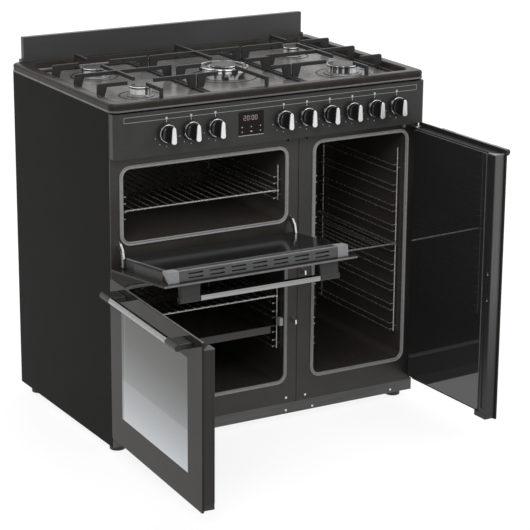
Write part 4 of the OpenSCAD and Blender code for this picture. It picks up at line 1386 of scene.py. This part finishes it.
@dataclass
class Knob:
    """One control knob: skirt, chrome ring, black face and a tapered grip with a bright front."""

    node: str
    x: float
    z: float
    back: float = -309.0
    # The grip's outline: half its width and half its length, its corners, and the share of its
    # width that is gone at its head.
    grip_half: float = 7.6
    grip_reach: float = 21.5
    grip_corner: float = 7.0
    taper: float = 0.42

    def build(self) -> None:
        """Makes the knob's four pieces."""
        body = turned([(24.2, 0), (25, 0.8), (25, 4.2), (24.2, 5), (21.6, 5), (21, 5.6),
                       (20.6, 16.4), (19.8, 17)], 64)
        piece = self.add(body, "body", Finishes.KNOB)
        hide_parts(self.node)
        ring = turned([(21.4, 4.6), (22.2, 4.9), (22.2, 5.5), (21.8, 6.0), (21.2, 6.0),
                       (20.9, 5.6)], 64)
        self.add(ring, "ring", Finishes.CHROME)
        self.add(self.grip([(0.0, 16.0), (0.2, 33.0)]), "grip", Finishes.KNOB)
        front = self.grip([(0.5, 33.0), (0.0, 33.4), (0.0, 35.2), (0.4, 36.2), (1.2, 36.9),
                           (2.4, 37.0)])
        self.add(front, "grip_front", Finishes.GRIP)

    def add(self, bench: Bench, part: str, finish: Finish) -> bpy.types.Object:
        """Brings a level piece to the knob, and names and dresses it."""
        bench.move(Axis.FRONT.at(self.x, self.back, self.z))
        return bench.finish(f"{self.node}_{part}", self.node, "knob_plastic", finish)

    def grip(self, steps: Pairs) -> Bench:
        """Closed part of the grip, by how far in each outline is and how high it lies."""
        return bridged([self.outline(inset, height) for inset, height in steps], True, True)

    def outline(self, inset: float, height: float) -> Bench:
        """Level teardrop outline of the grip, wide at its foot and narrow at its head.

        Args:
            inset: How far it is drawn in.
            height: Where it lies.

        Returns:
            Its bench.
        """
        half, reach = self.grip_half, self.grip_reach
        bench = rounded_plate((-half + inset, half - inset, -reach + inset, reach - inset),
                              self.grip_corner - inset, height, 8)
        for vertex in bench.piece.data.vertices:
            share = (vertex.co.y / MM + reach) / (2 * reach)
            vertex.co.x *= 1.0 - self.taper * share
        return bench


@dataclass
class ControlPanel:
    """Panel with its printed lines and marks, the clock and the nine knobs."""

    # The panel's face, and how far the clock's glass is in front of it.
    face_y: float = -304.0
    clock_front: float = 1.0
    # The knobs' height and pitch, and where the left and the right group start.
    knob_z: float = 818.0
    pitch: float = 67.2
    left_x: float = -305.0
    right_x: float = 23.0
    # The printed rectangle and its line, and the dots round a knob.
    line_edges: Edges = (-420.0, 420.0, 852.5, 866.6)
    line: float = 0.9
    dot_angles: tuple[int, ...] = (200, 235, 270, 305, 340)
    dot_ring: float = 33.0
    dot_half: float = 1.1
    # The clock: left edge of each digit, the digits' foot, and the keys' rows and middle column.
    digits: tuple[tuple[float, str], ...] = ((-92.0, "2"), (-82.5, "0"), (-69.5, "0"), (-60.0, "0"))
    digits_z: float = 825.5
    key_rows: Span = (809.0, 797.0)
    clock_x: float = -70.0

    def build(self) -> None:
        """Makes the panel's pieces."""
        softened("control_panel", "cooker", "black_enamel", Finishes.FASCIA, 0.8)
        softened("timer_display", "cooker", "clock_glass", Finishes.CLOCK, 0.3)
        self.frame_line()
        self.ticks()
        self.clock()
        for node, x in self.knobs().items():
            Knob(node, x, self.knob_z).build()

    def knobs(self) -> dict[str, float]:
        """Node and place along the panel of every knob, from left to right.

        Returns:
            The places by node.
        """
        left = {f"oven_knob_{n + 1}": self.left_x + n * self.pitch for n in range(3)}
        right = {f"gas_knob_{n}": self.right_x + n * self.pitch for n in range(1, 6)}
        return {**left, "oven_knob_4": self.right_x, **right}

    def ink(self, x: Span, z: Span, proud: float = 0.12, front: float = 0.0) -> Bench:
        """Flat printed mark on the panel, or on what stands in front of it.

        Args:
            x: Its left and right.
            z: Its foot and top.
            proud: How far it stands out.
            front: How far its ground is in front of the panel.

        Returns:
            Its bench.
        """
        ground = self.face_y - front
        return Bench.box(x, (ground - proud, ground + 0.1), z)

    def frame_line(self) -> None:
        """Prints the thin silver rectangle along the top of the panel."""
        left, right, low, high = self.line_edges
        line = self.line
        benches = [self.ink((left, right), (low, low + line)),
                   self.ink((left, right), (high - line, high)),
                   self.ink((left, left + line), (low, high)),
                   self.ink((right - line, right), (low, high))]
        as_one(benches).finish("panel_line", "cooker", "black_enamel", Finishes.PRINT)

    def ticks(self) -> None:
        """Prints the dots round the knobs and the small mark above each."""
        benches = []
        for x in self.knobs().values():
            for angle in self.dot_angles:
                across = self.dot_ring * math.cos(math.radians(angle))
                up = self.dot_ring * math.sin(math.radians(angle))
                benches.append(self.ink(around(x + across, self.dot_half),
                                        around(self.knob_z + up, self.dot_half)))
            benches.append(self.ink(around(x, 2.6), (852, 858), 0.2))
            benches.append(self.ink(around(x, 0.6), (844, 851)))
        as_one(benches).finish("panel_marks", "cooker", "black_enamel", Finishes.MARK)

    def clock(self) -> None:
        """Lights the clock's digits and prints the marks of its keys."""
        lit = {"2": "abged", "0": "abcdef"}
        benches = []
        for left, digit in self.digits:
            benches += self.digit(left, lit[digit])
        for z in (828.6, 834.4):
            benches.append(self.ink((-73.4, -72.3), around(z, 0.6), front=self.clock_front))
        as_one(benches).finish("clock_digits", "cooker", "clock_glass", Finishes.DIGITS)
        low_row = min(self.key_rows)
        marks = []
        for z in self.key_rows:
            for x in (self.clock_x - 26, self.clock_x, self.clock_x + 26):
                half = 2.6 if z == low_row and x == self.clock_x else 1.5
                marks.append(self.ink(around(x, half), around(z, 1.2), front=self.clock_front))
        marks.append(self.ink(around(self.clock_x, 36), (786.6, 787.8), 0.6))
        as_one(marks).finish("clock_marks", "cooker", "clock_glass", Finishes.MARK)

    def digit(self, left: float, lit: str) -> list[Bench]:
        """Lit bars of one digit.

        Args:
            left: Its left edge.
            lit: The letters of the lit bars.

        Returns:
            One bench for each bar.
        """
        wide, tall, bar = 6.6, 12.0, 1.1
        half = tall / 2
        first, whole, last = (0, bar), (0, wide), (wide - bar, wide)
        bars = {"a": (whole, (tall - bar, tall)), "b": (last, (half, tall)), "c": (last, (0, half)),
                "d": (whole, (0, bar)), "e": (first, (0, half)), "f": (first, (half, tall)),
                "g": (whole, around(half, bar / 2))}
        made = []
        for across, up in (bars[letter] for letter in lit):
            x = (left + across[0], left + across[1])
            z = (self.digits_z + up[0], self.digits_z + up[1])
            made.append(self.ink(x, z, front=self.clock_front))
        return made


@dataclass
class Burner:
    """One plain burner: cup, crown with flame ports and cap."""

    name: str
    x: float
    y: float
    cup_r: float
    cap_r: float
    # Height of the well, faces round a crown, how far out the dish's bead is from the cup, and how
    # deep a port is.
    base: float = 880.0
    sides: int = 96
    dish: float = 16.0
    port_deep: float = 1.6

    def put(self, bench: Bench, part: str, slot: str, finish: Finish,
            smooth: float = 35.0) -> bpy.types.Object:
        """Places, names and dresses one piece of the burner."""
        bench.move(Matrix.Translation(Vector((self.x, self.y, self.base)) * MM))
        return bench.finish(f"{self.name}_{part}", "cooker", slot, finish, smooth)

    def build(self) -> list[bpy.types.Object]:
        """Makes the burner's pieces.

        Returns:
            The cup, the crown and the cap.
        """
        self.bead()
        r, cup_r = self.cap_r, self.cup_r
        cup = turned([(cup_r - 0.6, 0), (cup_r, 0.6), (cup_r, 2.0), (cup_r - 1, 3), (r + 3, 3.4),
                      (r + 1.6, 4.2), (r + 1.4, 5.0), (r + 0.6, 5.6), (r - 3, 5.7)], 64)
        crown = turned([(r - 1.5, 5.7), (r, 6.2), (r, 14.2), (r, 18.6), (r - 0.8, 19.6),
                        (r - 2, 20)], self.sides)
        self.ports(crown, r - 0.6, (14.5, 18.4), 3, 0.25)
        cap = turned([(r, 20), (r + 1, 20.6), (r + 1, 23.6), (r + 0.2, 24.7), (r - 1.2, 25.0),
                      (r - 4.6, 24.8), (r - 5.4, 25.4), (r - 6.6, 26)], 64)
        return [self.put(cup, "cup", "burner_aluminium", Finishes.CUP),
                self.put(crown, "crown", "burner_aluminium", Finishes.BURNER, 25),
                self.polished(cap, "cap", r - 1.4)]

    def bead(self) -> None:
        """Presses the bead of the well round the burner."""
        r = self.cup_r + self.dish
        ring = ringed([(r, 0.05), (r + 1, 0.6), (r + 3, 0.9), (r + 5, 0.6), (r + 6, 0.05)])
        self.put(ring, "dish_bead", "hob_enamel", Finishes.HOB)

    def polished(self, cap: Bench, part: str, beyond: float) -> bpy.types.Object:
        """Places a cap whose polished rim has the burner finish, painted with reflection streaks.

        Args:
            cap: The cap about the Z axis.
            part: The last words of its name.
            beyond: The radius from which it is polished, in millimetres.

        Returns:
            The piece.
        """
        # Painted reflection: the rim gets the streaked burner finish.
        rim = [face.center.xy.length / MM > beyond and face.normal.z > 0.3
               for face in cap.piece.data.polygons]
        piece = self.put(cap, part, "cap_enamel", Finishes.CAP_ENAMEL)
        second_finish(piece, Finishes.BURNER, rim)
        return piece

    def ports(self, crown: Bench, beyond: float, heights: Span, every: int, rim: float) -> None:
        """Sinks flame ports into the side faces of a crown.

        Args:
            crown: The crown about the Z axis.
            beyond: The radius that the middle of a side face is beyond.
            heights: The heights that it is between.
            every: Faces from one port to the next.
            rim: What stays of a face round its port, in millimetres.
        """
        low, high = heights

        def port(spot: Vector, _: Vector) -> bool:
            """True for the middle of a face that gets a port."""
            number = int(math.atan2(spot.y, spot.x) % math.tau / math.tau * self.sides)
            return spot.xy.length > beyond and low < spot.z < high and number % every == 0

        crown.pick(port)
        with crown.editing("FACE"):
            bpy.ops.mesh.inset(thickness=rim * MM, depth=-self.port_deep * MM, use_individual=True)


@dataclass
class WokBurner(Burner):
    """Wok burner: open skirt, outer ring of ports, inner crown and two caps."""

    dish: float = 30.0
    ring_r: float = 65.0

    def build(self) -> list[bpy.types.Object]:
        """Makes the burner's pieces.

        Returns:
            The skirt, the outer ring with its ports, the inner crown, the ring cap and the cap.
        """
        self.bead()
        ring, foot, r = self.ring_r, self.cup_r, self.cap_r
        skirt = ringed([(foot, 0), (foot + 1.5, 3), (foot + 4.5, 11), (ring - 3, 16.5),
                        (ring, 17.4), (ring, 19.4), (ring - 1.5, 20), (ring - 9, 20),
                        (ring - 10, 17), (foot - 7, 7), (foot - 10, 5), (r - 3, 4.5), (r - 3, 0)])
        outer = ringed([(ring - 1.4, 20), (ring - 1, 20.4), (ring - 1, 21.2), (ring - 1, 24.2),
                        (ring - 1.6, 24.9), (ring - 9, 25), (ring - 9, 20)], self.sides)
        self.ports(outer, ring - 1.4, (21.3, 24.1), 2, 0.3)
        crown = turned([(r - 2, 4.6), (r - 1, 6), (r - 1, 12), (r, 13), (r, 23.5), (r - 0.8, 24.6),
                        (r - 2, 25)], 72)
        ring_cap = ringed([(ring - 0.6, 25), (ring, 25.5), (ring, 27), (ring - 1.6, 28.3),
                           (ring - 6, 28.5), (ring - 13.6, 28.2), (ring - 15, 27), (ring - 15, 25)])
        cap = turned([(r - 2, 25), (r - 1, 25.6), (r - 1, 29), (r - 1.8, 30.6), (r - 4.5, 31.9),
                      (r - 8, 32)], 64)
        return [self.put(skirt, "skirt", "burner_aluminium", Finishes.BURNER),
                self.put(outer, "outer_crown", "burner_aluminium", Finishes.BURNER, 25),
                self.put(crown, "inner_crown", "burner_aluminium", Finishes.BURNER),
                self.polished(ring_cap, "ring_cap", ring - 4.5),
                self.polished(cap, "inner_cap", r - 3.1)]


@dataclass
class Hob:
    """Hob with its rolled rim and sunk well, the burners and the pan supports."""

    width: float = 900.0
    depth: float = 600.0
    # Heights of the hob, of its lower lip with the painted highlight line above it, and of the
    # well.
    top: float = 900.0
    lip: float = 878.0
    lip_line: Span = (1.0, 4.6)
    well: float = 880.0

    def build(self) -> None:
        """Makes the hob's pieces."""
        self.plate()
        wok, *_ = [burner.build() for burner in (
            WokBurner("wok_burner", 0.0, -35.0, 54.0, 36.0),
            Burner("front_left_burner", -295.0, -145.0, 34.0, 27.0),
            Burner("rear_left_burner", -295.0, 118.0, 41.0, 34.0),
            Burner("front_right_burner", 295.0, -145.0, 50.0, 42.0),
            Burner("rear_right_burner", 295.0, 118.0, 27.0, 21.0))]
        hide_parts("burner_cups")
        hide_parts("burner_crowns")
        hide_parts("burner_caps")
        for side in ("left", "centre", "right"):
            node = f"pan_support_{side}"
            softened(node, node, "support_enamel", Finishes.IRON, 1.0)

    def plate(self) -> None:
        """Makes the pressed plate, from its lower lip over the rim and down into the well."""
        half_w, half_d = self.width / 2, self.depth / 2
        top, lip, well = self.top, self.lip, self.well
        steps = [(3.0, 20.0, lip + 2), (1.2, 21.0, lip), (0.1, 22.0, lip + 1.2),
                 (0.0, 22.0, lip + 3.4), (1.0, 21.0, lip + 5.4), (1.4, 20.8, lip + 8.0),
                 (0.6, 21.4, top - 8), (0.9, 21.2, top - 5), (2.6, 20.0, top - 2.3),
                 (5.4, 18.0, top - 0.6), (9.0, 16.0, top), (26.0, 27.0, top - 0.1),
                 (28.5, 26.0, top - 0.5), (30.5, 25.0, top - 2.5), (33.0, 23.0, well + 2.5),
                 (34.5, 22.0, well + 0.6), (37.0, 20.0, well)]
        loops = [((-half_w + inset, half_w - inset, -half_d + inset, half_d - inset), corner, z)
                 for inset, corner, z in steps]
        piece = lofted(loops, 8, True).finish("hob_plate", "cooker", "hob_enamel", Finishes.HOB, 40)
        faces = piece.data.polygons
        # The well's enamel, with paler clouds painted as reflections.
        second_finish(piece, Finishes.WELL,
                      [f.center.z / MM < well + 0.3 and f.normal.z > 0.5 for f in faces])
        # Painted highlight: a lighter line along the lip.
        low, high = (lip + rise for rise in self.lip_line)
        second_finish(piece, Finishes.LIP, [low < f.center.z / MM < high for f in faces])
        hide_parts("hob_top")


def doors() -> list[Door]:
    """The three doors.

    Returns:
        Main, grill and tall door, in that order.
    """
    return [
        Door("main_door", (-449.0, 82.5, 51.0, 464.0), (-431.0, 64.5, 69.0, 444.0),
             (-433.0, -297.0, 0.0), (0.0, 0.0, -93.4), FreeEdge.RIGHT,
             (-380.0, 4.0, 124.0, 404.0), Finishes.DARK_PROFILE, Finishes.LID,
             catch=(70.5, 276.0)),
        Door("grill_door", (-449.0, 82.5, 474.0, 761.0), (-431.0, 64.5, 492.0, 745.0),
             (0.0, -305.0, 498.0), (83.5, 0.0, 0.0), FreeEdge.TOP,
             (-372.0, 5.0, 540.0, 690.0), Finishes.SLOT_PROFILE, Finishes.CAP),
        Door("tall_door", (85.5, 449.0, 51.0, 761.0), (103.5, 431.0, 69.0, 750.0),
             (433.0, -297.0, 0.0), (0.0, 0.0, 92.0), FreeEdge.LEFT,
             (140.0, 395.0, 127.0, 690.0), Finishes.PROFILE, Finishes.CAP,
             catch=(97.5, 405.0))]


def main() -> None:
    """Builds the studio and every sub-assembly."""
    logging.basicConfig(level=logging.INFO, format="%(name)s: %(message)s")
    bpy.context.scene.view_settings.view_transform = "Standard"
    Bench.clear()
    Studio().build()
    Cabinet().build()
    Ovens().build()
    ControlPanel().build()
    Hob().build()
    for door in doors():
        door.build()
    redress(["door_hardware", "grill_hinge_arms"], Finishes.HINGE)


if __name__ == "__main__":
    main()
